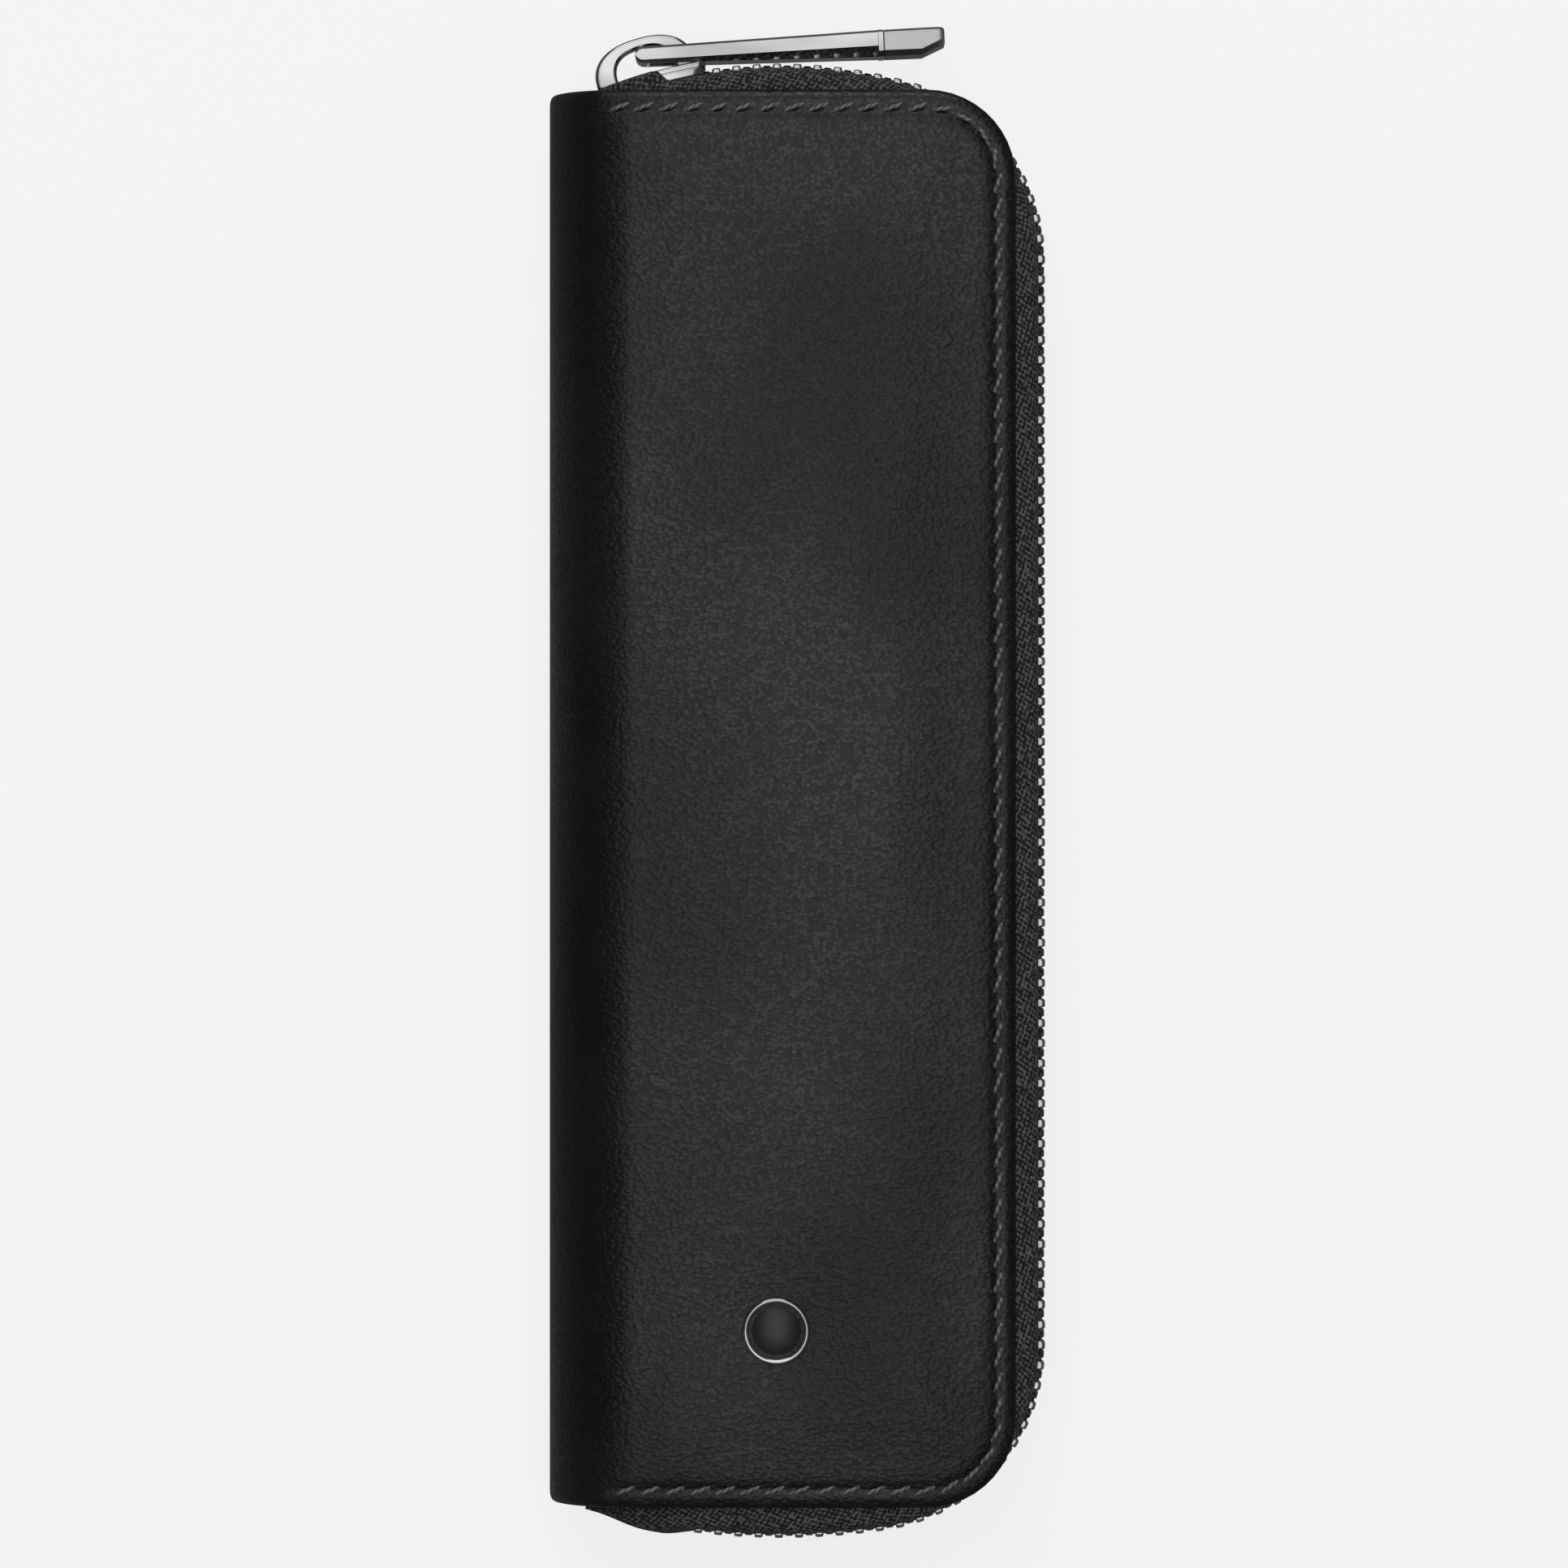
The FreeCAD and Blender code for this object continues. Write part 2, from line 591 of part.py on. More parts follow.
FLANGE_FACE = "(tooth_reach + slider_clearance)"
SLIDER_SIDE = "(tooth_reach + slider_clearance + slider_wall)"
SLOT_HIGH = "(arch_radius + slider_clearance)"
SLOT_LOW = "(arch_radius - tape_thickness - slider_clearance)"
PAST_SIDE = "(tooth_reach + slider_clearance + 2 * slider_wall)"

slider = slider_frame("slider_body")
block = new_sketch(slider, "YZ_Plane")
draw_loop(block, rectangle(f"{FLOOR_RADIUS} - slider_wall", PLATE_RADIUS, f"-{SLIDER_SIDE}", SLIDER_SIDE))
turn(slider, "Revolution", block, "slider_angle", middle=True)
block_volume = slider.Shape.Volume

closed_side = new_sketch(slider, "YZ_Plane")
draw_loop(closed_side, [
    (FLOOR_RADIUS, f"-{FLANGE_FACE}"), (SLOT_LOW, f"-{FLANGE_FACE}"), (SLOT_LOW, f"-{PAST_SIDE}"),
    (SLOT_HIGH, f"-{PAST_SIDE}"), (SLOT_HIGH, f"-{FLANGE_FACE}"), (CHAMBER_RADIUS, f"-{FLANGE_FACE}"),
    (CHAMBER_RADIUS, FLANGE_FACE), (SLOT_HIGH, FLANGE_FACE), (SLOT_HIGH, PAST_SIDE),
    (SLOT_LOW, PAST_SIDE), (SLOT_LOW, FLANGE_FACE), (FLOOR_RADIUS, FLANGE_FACE),
])
turn(slider, "Groove", closed_side, "slider_angle", reverse=True)
assert slider.Shape.Volume < block_volume, "the slider's closed side cut nothing"
closed_volume = slider.Shape.Volume

parted_side = new_sketch(slider, "YZ_Plane")
for sign in ("", "-"):
    draw_loop(parted_side, [
        (FLOOR_RADIUS, f"{sign}divider_width / 2"), (CHAMBER_RADIUS, f"{sign}divider_width / 2"),
        (CHAMBER_RADIUS, f"{sign}{FLANGE_FACE}"), (SLOT_HIGH, f"{sign}{FLANGE_FACE}"),
        (SLOT_HIGH, f"{sign}{PAST_SIDE}"), (SLOT_LOW, f"{sign}{PAST_SIDE}"),
        (SLOT_LOW, f"{sign}{FLANGE_FACE}"), (FLOOR_RADIUS, f"{sign}{FLANGE_FACE}"),
    ])
turn(slider, "Groove", parted_side, "slider_angle")
assert slider.Shape.Volume < closed_volume, "the slider's parted side cut nothing"
nose = new_sketch(slider, "XZ_Plane")
for sign in ("", "-"):
    draw_loop(nose, [
        (f"-{PLATE_RUN}", f"{sign}({SLIDER_SIDE} - slider_nose_bevel)"),
        (f"slider_nose_bevel - {PLATE_RUN}", f"{sign}{SLIDER_SIDE}"),
        (f"-{PLATE_RUN}", f"{sign}{SLIDER_SIDE}"),
    ])
parted_volume = slider.Shape.Volume
extrude(slider, "Pocket", nose, f"2 * {PLATE_RADIUS}")
assert slider.Shape.Volume < parted_volume, "the slider's nose cut nothing"
plate = size(PLATE_RADIUS)
round_edges(slider, "slider_edge_radius", lambda edge: all(
    abs(math.hypot(vertex.X, vertex.Y) - plate) < 0.01 for vertex in edge.Vertexes))

bail = slider_frame("slider_bail")
arch = new_sketch(bail, "XY_Plane")


def on_plate(x):
    """A point on the slider's plate, at x from its middle."""
    return (x, f"sqrt({PLATE_RADIUS} ^ 2 - ({x}) ^ 2)")


BAIL_TOP = f"({PLATE_RADIUS} + bail_rise)"
BAIL_EYE = f"({PLATE_RADIUS} + bail_rise - bail_crown)"
draw_loop(arch, [
    on_plate("-bail_left_reach") + (PLATE_RADIUS, -1),
    on_plate("-bail_left_reach + bail_foot"),
    ("-bail_left_reach + bail_foot", BAIL_EYE),
    ("bail_right_reach - bail_foot", BAIL_EYE),
    on_plate("bail_right_reach - bail_foot") + (PLATE_RADIUS, -1),
    on_plate("bail_right_reach"),
    ("bail_right_reach", BAIL_TOP),
    ("-bail_left_reach", BAIL_TOP),
])
extrude(bail, "Pad", arch, "bail_width")
for level, radius in ((BAIL_TOP, "bail_outer_radius"), (BAIL_EYE, "bail_inner_radius")):
    height = size(level)
    round_edges(bail, radius, lambda edge: runs_along(edge, Vector(0, 0, 1))
                and abs(edge.CenterOfMass.y - height) < 0.01)
bevel_edges(bail, "bail_bevel", lambda edge: not runs_along(edge, Vector(0, 0, 1)) and any(
    abs(math.hypot(vertex.X, vertex.Y) - plate) > 0.01 for vertex in edge.Vertexes))


# Pull: a tapered tab that hangs in the bail by its eye, with a grip on its end

def pull_frame(label):
    """A body at the pull's pivot, whose X axis runs along the pull."""
    return new_body(label, x=f"-{PIVOT_RADIUS} * sin({SLIDER_PARK})",
                    y=f"{ARCH_CENTRE} + {PIVOT_RADIUS} * cos({SLIDER_PARK})",
                    z=SPINE_RADIUS, turn=PULL_TURN)


PULL_SIDE = "(pull_width / 2)"
GRIP_SECTION = ("(grip_thickness / 2)", "(grip_width / 2)", "grip_facet")
GRIP_END = "(pull_length + grip_length)"
tab = pull_frame("pull_tab")


def pull_section(body, level, half, side, facet):
    """A section across the pull at a level: narrow bevels above and ground facets below."""
    section = new_sketch(body, "YZ_Plane", level)
    draw_loop(section, [
        (half, f"-({side} - pull_bevel)"),
        (half, f"{side} - pull_bevel"),
        (f"{half} - pull_bevel", side),
        (f"{facet} - {half}", side),
        (f"-{half}", f"{side} - {facet}"),
        (f"-{half}", f"-({side} - {facet})"),
        (f"{facet} - {half}", f"-{side}"),
        (f"{half} - pull_bevel", f"-{side}"),
    ])
    return section


tapered = tab.newObject("PartDesign::AdditiveLoft", "pull_tab_loft")
tapered.Profile = pull_section(tab, "0", BAR_RADIUS, PULL_SIDE, "pull_facet_eye")
tapered.Sections = [pull_section(tab, "pull_length", "pull_thickness / 2", PULL_SIDE, "pull_facet_grip")]
tapered.Ruled = True
doc.recompute()
collar = pull_section(tab, "pull_length - collar_length", *GRIP_SECTION)
extrude(tab, "Pad", collar, "collar_length", middle=False)
eye = new_sketch(tab, "XZ_Plane")
draw_loop(eye, rectangle("0", "pull_eye_length", "-(bail_width / 2 + pull_eye_gap)",
                         "bail_width / 2 + pull_eye_gap"))
solid_volume = tab.Shape.Volume
extrude(tab, "Pocket", eye, "2 * pull_thickness")
assert tab.Shape.Volume < solid_volume, "the pull's eye cut nothing"
bar = new_sketch(tab, "XY_Plane")
draw_circle(bar, "pull_bar")
extrude(tab, "Pad", bar, "pull_width - 2 * pull_facet_eye")
tongue = new_sketch(tab, "XZ_Plane")
draw_loop(tongue, rectangle("pull_length - tenon_thickness", "pull_length + tenon_length",
                            "-tenon_width / 2", "tenon_width / 2"))
extrude(tab, "Pad", tongue, "tenon_thickness")

grip = pull_frame("pull_grip")
grip_section = pull_section(grip, "pull_length", *GRIP_SECTION)
extrude(grip, "Pad", grip_section, "grip_length", middle=False)
grip_volume = grip.Shape.Volume
undercut = new_sketch(grip, "XY_Plane")
draw_loop(undercut, [
    (f"{GRIP_END} - grip_undercut_length", "-grip_thickness / 2"),
    (GRIP_END, "-grip_thickness / 2"),
    (GRIP_END, "grip_undercut - grip_thickness / 2"),
])
extrude(grip, "Pocket", undercut, "2 * grip_width")
assert grip.Shape.Volume < grip_volume, "the grip's underside cut nothing"
round_edges(grip, "grip_corner_radius", lambda edge: runs_along(edge, Vector(0, 0, 1))
            and edge.CenterOfMass.x > size("pull_length + grip_length / 2"))
socket = new_sketch(grip, "XZ_Plane")
draw_loop(socket, rectangle("pull_length - tenon_clearance", "pull_length + tenon_length + tenon_clearance",
                            "-(tenon_width / 2 + tenon_clearance)", "tenon_width / 2 + tenon_clearance"))
grip_volume = grip.Shape.Volume
extrude(grip, "Pocket", socket, "tenon_thickness + 2 * tenon_clearance")
assert grip.Shape.Volume < grip_volume, "the grip's socket cut nothing"


# Plain round stud on the front cover, riveted through the leather

def stud_frame(label):
    return new_body(label, x="-stud_off_centre", y="-stud_from_middle", z="body_depth")


RIM_OUTER = "stud_diameter / 2"
RIM_INNER = "(stud_diameter / 2 - stud_rim)"
DISC_RADIUS = f"({RIM_INNER} - stud_clearance)"
STEM_RADIUS = "(stud_stem_diameter / 2)"

rim = stud_frame("stud_rim")
rim_section = new_sketch(rim, "XZ_Plane")
draw_loop(rim_section, [
    (RIM_INNER, "0"),
    (RIM_OUTER, "0"),
    (RIM_OUTER, "stud_height - rim_bevel"),
    (f"{RIM_OUTER} - rim_bevel", "stud_height"),
    (f"{RIM_INNER} + rim_bevel", "stud_height"),
    (RIM_INNER, "stud_height - rim_bevel"),
])
turn(rim, "Revolution", rim_section, "360")

disc = stud_frame("stud_disc")
disc_section = new_sketch(disc, "XZ_Plane")
draw_loop(disc_section, [
    ("0", f"-{LINING_OUTER} + stud_clearance"),
    (STEM_RADIUS, f"-{LINING_OUTER} + stud_clearance"),
    (STEM_RADIUS, "0"),
    (DISC_RADIUS, "0"),
    (DISC_RADIUS, "stud_disc_height"),
    ("0", "stud_disc_height"),
])
turn(disc, "Revolution", disc_section, "360")

washer = stud_frame("stud_washer")
ring = new_sketch(washer, "XY_Plane", "-leather_thickness")
draw_circle(ring, "washer_diameter")
draw_circle(ring, "stud_stem_diameter + 2 * stud_clearance")
extrude(washer, "Pad", ring, "washer_thickness", middle=False, reverse=True)


# Two pen loops on a leather patch, sewn to the back lining

LOOP_STEP = "(loop_bore + 2 * loop_band + loop_gap)"
LOOP_BASE = f"({LINING_FACE} + patch_thickness)"
LOOP_SPRING = f"(body_depth - {LINING_FACE} - loop_headroom - {LOOP_BASE} - {LOOP_OUTER})"
patch = new_body("pen_loop_patch", x=LOOP_CENTRE, y="loop_from_middle", z=LINING_FACE)
patch_outline = new_sketch(patch, "XY_Plane")
patch_half = f"({LOOP_STEP} / 2 + {LOOP_OUTER} + patch_border)"
patch_end = "(loop_length / 2 + patch_border)"
draw_loop(patch_outline, rectangle(f"-{patch_half}", patch_half, f"-{patch_end}", patch_end))
extrude(patch, "Pad", patch_outline, "patch_thickness", middle=False)
round_edges(patch, "patch_border", lambda edge: runs_along(edge, Vector(0, 0, 1)))

for side_name, shift in (("left", f"-{LOOP_STEP} / 2"), ("right", f"{LOOP_STEP} / 2")):
    loop = new_body(f"pen_loop_{side_name}", x=f"{LOOP_CENTRE} + {shift}", y="loop_from_middle", z=LOOP_BASE)
    band = new_sketch(loop, "XZ_Plane")
    draw_loop(band, [
        (f"-{LOOP_OUTER}", "0"),
        ("-loop_bore / 2", "0"),
        ("-loop_bore / 2", LOOP_SPRING, "loop_bore / 2", -1),
        ("0", f"{LOOP_SPRING} + loop_bore / 2", "loop_bore / 2", -1),
        ("loop_bore / 2", LOOP_SPRING),
        ("loop_bore / 2", "0"),
        (LOOP_OUTER, "0"),
        (LOOP_OUTER, LOOP_SPRING, LOOP_OUTER, 1),
        ("0", f"{LOOP_SPRING} + {LOOP_OUTER}", LOOP_OUTER, 1),
        (f"-{LOOP_OUTER}", LOOP_SPRING),
    ])
    extrude(loop, "Pad", band, "loop_length")


# Check the document, then write each sub-part

doc.recompute()
for item in doc.Objects:
    if "Invalid" in item.State or "Error" in item.State:
        raise RuntimeError(f"{item.Label} did not build: {item.State}")
for label, item in nodes.items():
    if item.Shape.isNull() or not item.Shape.isValid():
        raise RuntimeError(f"{label} has no valid shape")

os.makedirs("parts", exist_ok=True)
for label, item in nodes.items():
    item.Shape.exportStep(os.path.join("parts", f"{label}.step"))
    box = item.Shape.BoundBox
    print(f"{label}: {len(item.Shape.Solids)} solid(s), {item.Shape.Volume:.2f} mm3, "
          f"x {box.XMin:.2f} to {box.XMax:.2f}, y {box.YMin:.2f} to {box.YMax:.2f}, "
          f"z {box.ZMin:.2f} to {box.ZMax:.2f}")
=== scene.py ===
# %% [markdown]
# # A zip-around leather pen case
#
# The case is one long cut of black leather that wraps from the back cover, round the spine, to the front
# cover. A metal zip runs round the three open sides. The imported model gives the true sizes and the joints,
# and this lesson dresses it: soft sheets, thread, cloth and polished metal are built as meshes over it.

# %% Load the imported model
import math
import bpy
import numpy as np
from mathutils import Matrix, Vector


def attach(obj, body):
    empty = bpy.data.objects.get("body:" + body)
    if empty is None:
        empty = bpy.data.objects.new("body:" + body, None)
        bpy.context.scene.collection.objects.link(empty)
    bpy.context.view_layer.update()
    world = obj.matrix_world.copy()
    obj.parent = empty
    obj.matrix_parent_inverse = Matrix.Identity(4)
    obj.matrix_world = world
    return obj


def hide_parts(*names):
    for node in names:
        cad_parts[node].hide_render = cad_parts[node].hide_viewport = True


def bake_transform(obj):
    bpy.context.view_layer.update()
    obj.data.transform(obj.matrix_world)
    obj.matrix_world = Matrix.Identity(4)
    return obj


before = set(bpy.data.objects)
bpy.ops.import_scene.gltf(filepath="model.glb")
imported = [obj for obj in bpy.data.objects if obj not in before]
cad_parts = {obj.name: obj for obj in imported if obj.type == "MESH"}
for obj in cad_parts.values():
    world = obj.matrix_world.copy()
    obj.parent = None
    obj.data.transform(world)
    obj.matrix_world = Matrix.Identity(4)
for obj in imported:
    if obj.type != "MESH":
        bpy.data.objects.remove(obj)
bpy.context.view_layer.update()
print("nodes in the packed model:", len(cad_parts))

# %% [markdown]
# ## Shader sums
#
# Most finishes here are a few patterns added and multiplied together. Their nodes could be added and linked
# one by one, but a long list of links is hard to follow. Wrapping a node's output in a small class lets
# those sums be written as Python sums, so a recipe can be read in one line.

# %% A node output that works in sums
class Signal:
    """One output of a shader node."""

    def __init__(self, tree, socket=None):
        self.tree = tree
        self.socket = socket

    def node(self, kind, settings, values, output=0):
        """Add a node: its settings first, then its inputs, each a plain value or another signal."""
        made = self.tree.nodes.new(kind)
        for name, value in settings.items():
            setattr(made, name, value)
        for name, value in values.items():
            if isinstance(value, Signal):
                self.tree.links.new(value.socket, made.inputs[name])
            else:
                made.inputs[name].default_value = value
        return Signal(self.tree, made.outputs[output])

    def math(self, operation, first, second=0.0):
        return self.node("ShaderNodeMath", {"operation": operation}, {0: first, 1: second})

    def __add__(self, other):
        return self.math("ADD", self, other)

    def __radd__(self, other):
        return self.math("ADD", other, self)

    def __sub__(self, other):
        return self.math("SUBTRACT", self, other)

    def __rsub__(self, other):
        return self.math("SUBTRACT", other, self)

    def __mul__(self, other):
        return self.math("MULTIPLY", self, other)

    def __rmul__(self, other):
        return self.math("MULTIPLY", other, self)

    def sine(self):
        return self.math("SINE", self)

    def ramp(self, low, high):
        """0 below low, 1 above high, and a soft step between them."""
        return self.node("ShaderNodeMapRange", {"interpolation_type": "SMOOTHSTEP"},
                         {"Value": self, "From Min": low, "From Max": high})

    def mix(self, low_colour, high_colour):
        """The colour between two colours, at this share."""
        return self.node("ShaderNodeMix", {"data_type": "RGBA"},
                         {0: self, 6: low_colour, 7: high_colour}, output=2)

    def stretch(self, scale):
        """A coordinate multiplied by a different number on each axis."""
        return self.node("ShaderNodeVectorMath", {"operation": "MULTIPLY"}, {0: self, 1: scale})

    def axis(self, number):
        return self.node("ShaderNodeSeparateXYZ", {}, {0: self}, output=number)

    def noise(self, scale, detail):
        return self.node("ShaderNodeTexNoise", {}, {"Vector": self, "Scale": scale, "Detail": detail})

    def cells(self, scale):
        return self.node("ShaderNodeTexVoronoi", {"feature": "SMOOTH_F1"},
                         {"Vector": self, "Scale": scale, "Smoothness": 0.5})


# %% [markdown]
# A finish is one Principled shader. Fixed properties are typed into its sockets, and a pattern is linked
# only where the look really varies, such as the colour, the roughness or a bump. A recipe is given two
# coordinates: the flat sheet's, in millimetres, and the object's own, in metres.

# %% One function that makes a finish
def grey(level):
    return (level, level, level, 1.0)


def finish(name, settings, recipe):
    """A material with fixed socket values, and a recipe that returns the varying ones."""
    material = bpy.data.materials.new(name)
    material.use_nodes = True
    tree = material.node_tree
    shader = tree.nodes["Principled BSDF"]
    for socket, value in settings.items():
        shader.inputs[socket].default_value = value
    start = Signal(tree)
    sheet = start.node("ShaderNodeTexCoord", {}, {}, output="UV")
    room = start.node("ShaderNodeTexCoord", {}, {}, output="Object")
    for socket, signal in recipe(sheet, room).items():
        tree.links.new(signal.socket, shader.inputs[socket])
    print("finish:", name)
    return material


def bump(height, strength, distance):
    """A bumped normal from a height pattern, with the distance in metres."""
    return height.node("ShaderNodeBump", {}, {"Height": height, "Strength": strength, "Distance": distance})


# %% [markdown]
# ## Leather
#
# Smooth calf leather has a fine pebble, pores drawn out across the hide and a few long creases. They are
# finer than the mesh, so they are a bump in the shader. Handling polishes the high spots, and some broad
# patches more than others, so the clear coat is stronger there and the grain shows as a soft sheen. Each
# sheet carries flat-pattern coordinates, so the grain runs on unbroken round the spine.

# %% Leather
def leather_recipe(sheet, room):
    pebbles = 1.0 - sheet.stretch((1.0, 1.3, 1.0)).cells(1.9)
    creases = sheet.stretch((0.3, 0.9, 1.0)).noise(1.0, 4.0)
    pores = sheet.stretch((0.55, 1.4, 1.0)).noise(2.3, 3.0)
    height = pebbles * 0.9 + creases * 0.6 + pores * 0.7
    worn = sheet.noise(0.07, 2.0).ramp(0.35, 0.7)
    handled = sheet.stretch((1.0, 0.6, 1.0)).noise(0.035, 1.0).ramp(0.32, 0.68)
    return {
        "Base Color": worn.mix(grey(0.0050), grey(0.0080)),
        "Roughness": 0.33 + 0.10 * creases + 0.07 * worn,
        "Coat Weight": (0.15 + 0.42 * height.ramp(0.95, 1.55)) * (0.5 + handled),
        "Normal": bump(height, 0.5, 0.00024),
    }


leather = finish("black_leather", {"Specular IOR Level": 0.31, "Coat Roughness": 0.28}, leather_recipe)

# %% [markdown]
# The lining is woven, with a soft nap that hides most of the weave. The thread is twisted and waxed, and a
# painted highlight makes the crest of each strand paler than the rest. Two sine waves multiplied together
# make a weave, and one slanted wave makes a twist, which is all that shows at this size.

# %% Lining and thread
def lining_recipe(sheet, room):
    weave = (sheet.axis(0) * 14.0).sine() * (sheet.axis(1) * 14.0).sine()
    nap = sheet.noise(0.35, 3.0)
    return {
        "Base Color": nap.ramp(0.3, 0.75).mix(grey(0.012), grey(0.022)),
        "Normal": bump(weave * 0.6 + nap, 0.25, 0.00012),
    }


def thread_recipe(sheet, room):
    twist = (sheet.axis(0) * 7.0 + sheet.axis(1) * 5.0).sine()
    return {
        # painted highlight: the colour is paler on the crest of each twisted strand
        "Base Color": twist.ramp(-1.0, 1.0).mix(grey(0.12), grey(0.30)),
        "Normal": bump(twist, 0.35, 0.00012),
    }


lining = finish("black_lining", {"Roughness": 0.78, "Sheen Weight": 0.06}, lining_recipe)
thread = finish("waxed_thread", {"Roughness": 0.42}, thread_recipe)

# %% [markdown]
# ## Zip cloth and elastic
#
# Zip tape is a coarse twill: slanted ribs crossed by the weft, with bright specks of painted highlight where
# a yarn turns up to the light. Elastic is ribbed lengthwise, with a finer weave between the ribs. Modelled
# threads would be far too many, so crossed waves stand for them, and on the tape cells and noise break their
# order like fuzz.

# %% Tape and elastic
def tape_recipe(sheet, room):
    along = sheet.axis(0)
    across = sheet.axis(1)
    ribs = (along * 7.0 + across * 2.8).sine()
    picks = (along * 3.0 - across * 9.4).sine()
    yarn = sheet.stretch((1.0, 1.35, 1.0)).cells(2.7)
    fuzz = sheet.noise(1.7, 3.0)
    weave = 0.35 * ribs * picks + 0.9 * yarn + fuzz
    # painted highlight: the colour is paler where the weave is highest, where a yarn turns up to the light
    painted_yarn_highlights = weave.ramp(0.75, 1.35)
    return {
        "Base Color": painted_yarn_highlights.mix(grey(0.008), grey(0.17)),
        "Normal": bump(weave, 0.6, 0.00025),
    }


def elastic_recipe(sheet, room):
    ribs = (sheet.axis(1) * 4.2).sine()
    picks = (sheet.axis(0) * 9.0).sine()
    return {
        "Base Color": ribs.ramp(-1.0, 1.0).mix(grey(0.008), grey(0.030)),
        "Normal": bump(ribs + 0.35 * picks, 0.5, 0.0003),
    }


tape_cloth = finish("zip_tape_cloth", {"Roughness": 0.82, "Sheen Weight": 0.10}, tape_recipe)
elastic = finish("ribbed_elastic", {"Roughness": 0.8}, elastic_recipe)

# %% [markdown]
# ## Metal and board
#
# The slider, bail, pull and stud rim are polished nickel plate, with faint wipe marks, and a slow change of
# tone along them that is a painted reflection. The teeth are a little duller, and their noses, which lie deep
# between the teeth of the other row, are painted dark as painted shade. The grip of the pull is satin, with
# fine marks along it. Metal of one even tone looks like paint, so each recipe varies tone and roughness a
# little.

# %% Polished metal, teeth and satin
CHAIN_MIDDLE = 10.0


def polished_recipe(sheet, room):
    wipes = room.stretch((300.0, 1400.0, 700.0)).noise(1.0, 2.0)
    # painted reflection: the slow change of base tone stands in for bright and dark surroundings mirrored in
    # the metal
    painted_reflection = room.stretch((60.0, 180.0, 180.0)).noise(1.0, 1.0).ramp(0.36, 0.64)
    return {
        "Base Color": painted_reflection.mix(grey(0.34), grey(0.56)),
        "Roughness": 0.10 + 0.07 * wipes,
    }


def teeth_recipe(sheet, room):
    dull = room.noise(900.0, 2.0)
    upright = room.node("ShaderNodeTexCoord", {}, {}, output="Normal").axis(2)
    from_middle = room.axis(2) * 1000.0 - CHAIN_MIDDLE
    # painted shade: the upward-facing noses near the chain's middle, deep between the other row's teeth, are
    # painted dark grey
    painted_nose_shade = (upright * upright).ramp(0.15, 0.6) * (1.0 - (from_middle * from_middle).ramp(1.5, 4.0))
    metal = dull.ramp(0.3, 0.7).mix(grey(0.42), grey(0.60))
    return {
        "Base Color": painted_nose_shade.mix(metal, grey(0.20)),
        "Roughness": 0.20 + 0.14 * dull,
    }


def satin_recipe(sheet, room):
    marks = room.stretch((400.0, 400.0, 9000.0)).noise(1.0, 2.0)
    return {
        "Base Color": marks.ramp(0.2, 0.8).mix(grey(0.37), grey(0.46)),
        "Roughness": 0.27 + 0.10 * marks,
        "Normal": bump(marks, 0.12, 0.00003),
    }


polished = finish("polished_nickel", {"Metallic": 1.0}, polished_recipe)
tooth_metal = finish("tooth_nickel", {"Metallic": 1.0}, teeth_recipe)
satin = finish("satin_nickel", {"Metallic": 1.0}, satin_recipe)

# %% [markdown]
# The stud's face is black and a little hazy. Grey board stiffens the covers, and pressed paper fibres lie
# along it, so its noise is drawn out one way.

# %% Stud face and board
def stud_recipe(sheet, room):
    haze = room.noise(700.0, 2.0)
    return {"Roughness": 0.28 + 0.12 * haze}


def board_recipe(sheet, room):
    fibres = room.stretch((1500.0, 500.0, 3000.0)).noise(1.0, 4.0)
    return {"Base Color": fibres.mix((0.20, 0.17, 0.13, 1.0), (0.36, 0.31, 0.25, 1.0))}


stud_black = finish("stud_black", {"Base Color": grey(0.010)}, stud_recipe)
board = finish("grey_board", {"Roughness": 0.9}, board_recipe)

# %% [markdown]
# ## Sheets that wrap round the spine
#
# All the leather is one flat sheet before it is folded. Drawing it flat keeps every outline simple, and one
# function then wraps a point round the half-round spine: across is measured over the sheet, along is the
# length of the case, and depth goes in from the outer face.

# %% Sizes of the case and the wrap
MM = 0.001
LENGTH = 159.0
WIDTH = 52.5
DEPTH = 20.0
CORNER = 10.0
LEATHER = 1.2
SPINE = DEPTH / 2
FOLD_X = SPINE - WIDTH / 2
TURN = math.pi / 3
FIRST_SEAM = FOLD_X - TURN * SPINE
SECOND_SEAM = FOLD_X - 2 * TURN * SPINE
MIDDLE_ACROSS = FOLD_X - 1.5 * TURN * SPINE
FLAT_WIDTH = 2 * (WIDTH / 2 - FOLD_X) + math.pi * SPINE


def wrap(across, along, depth):
    """Where points of the flat sheet lie on the closed case."""
    angle = np.clip((FOLD_X - across) / SPINE, 0, math.pi)
    beyond_front = np.maximum(FOLD_X - math.pi * SPINE - across, 0)
    flat = np.maximum(across - FOLD_X, 0) + beyond_front
    reach = SPINE - depth
    x = FOLD_X + flat - reach * np.sin(angle)
    z = SPINE - reach * np.cos(angle)
    return np.stack(np.broadcast_arrays(x, along, z), -1)


def soft_step(value, low, high):
    share = np.clip((np.asarray(value, float) - low) / (high - low), 0, 1)
    return share * share * (3 - 2 * share)


print("leather laid flat, mm:", LENGTH, "by", round(FLAT_WIDTH, 1))

# %% [markdown]
# Meshes are made from rows of points. Modifiers could thicken and bend a plane, but rows put every edge
# where a size says it is. Two neighbouring rows give a band of four-sided faces, which suits sheets, tubes
# and swept profiles alike.

# %% From rows of points to an object
def bands(rows, closed=False):
    """Faces between neighbouring rows of point numbers."""
    faces = []
    for first, second in zip(rows, rows[1:]):
        pairs = list(zip(first, second))
        if closed:
            pairs.append(pairs[0])
        for (a, b), (c, d) in zip(pairs, pairs[1:]):
            faces.append((a, c, d, b))
    return faces


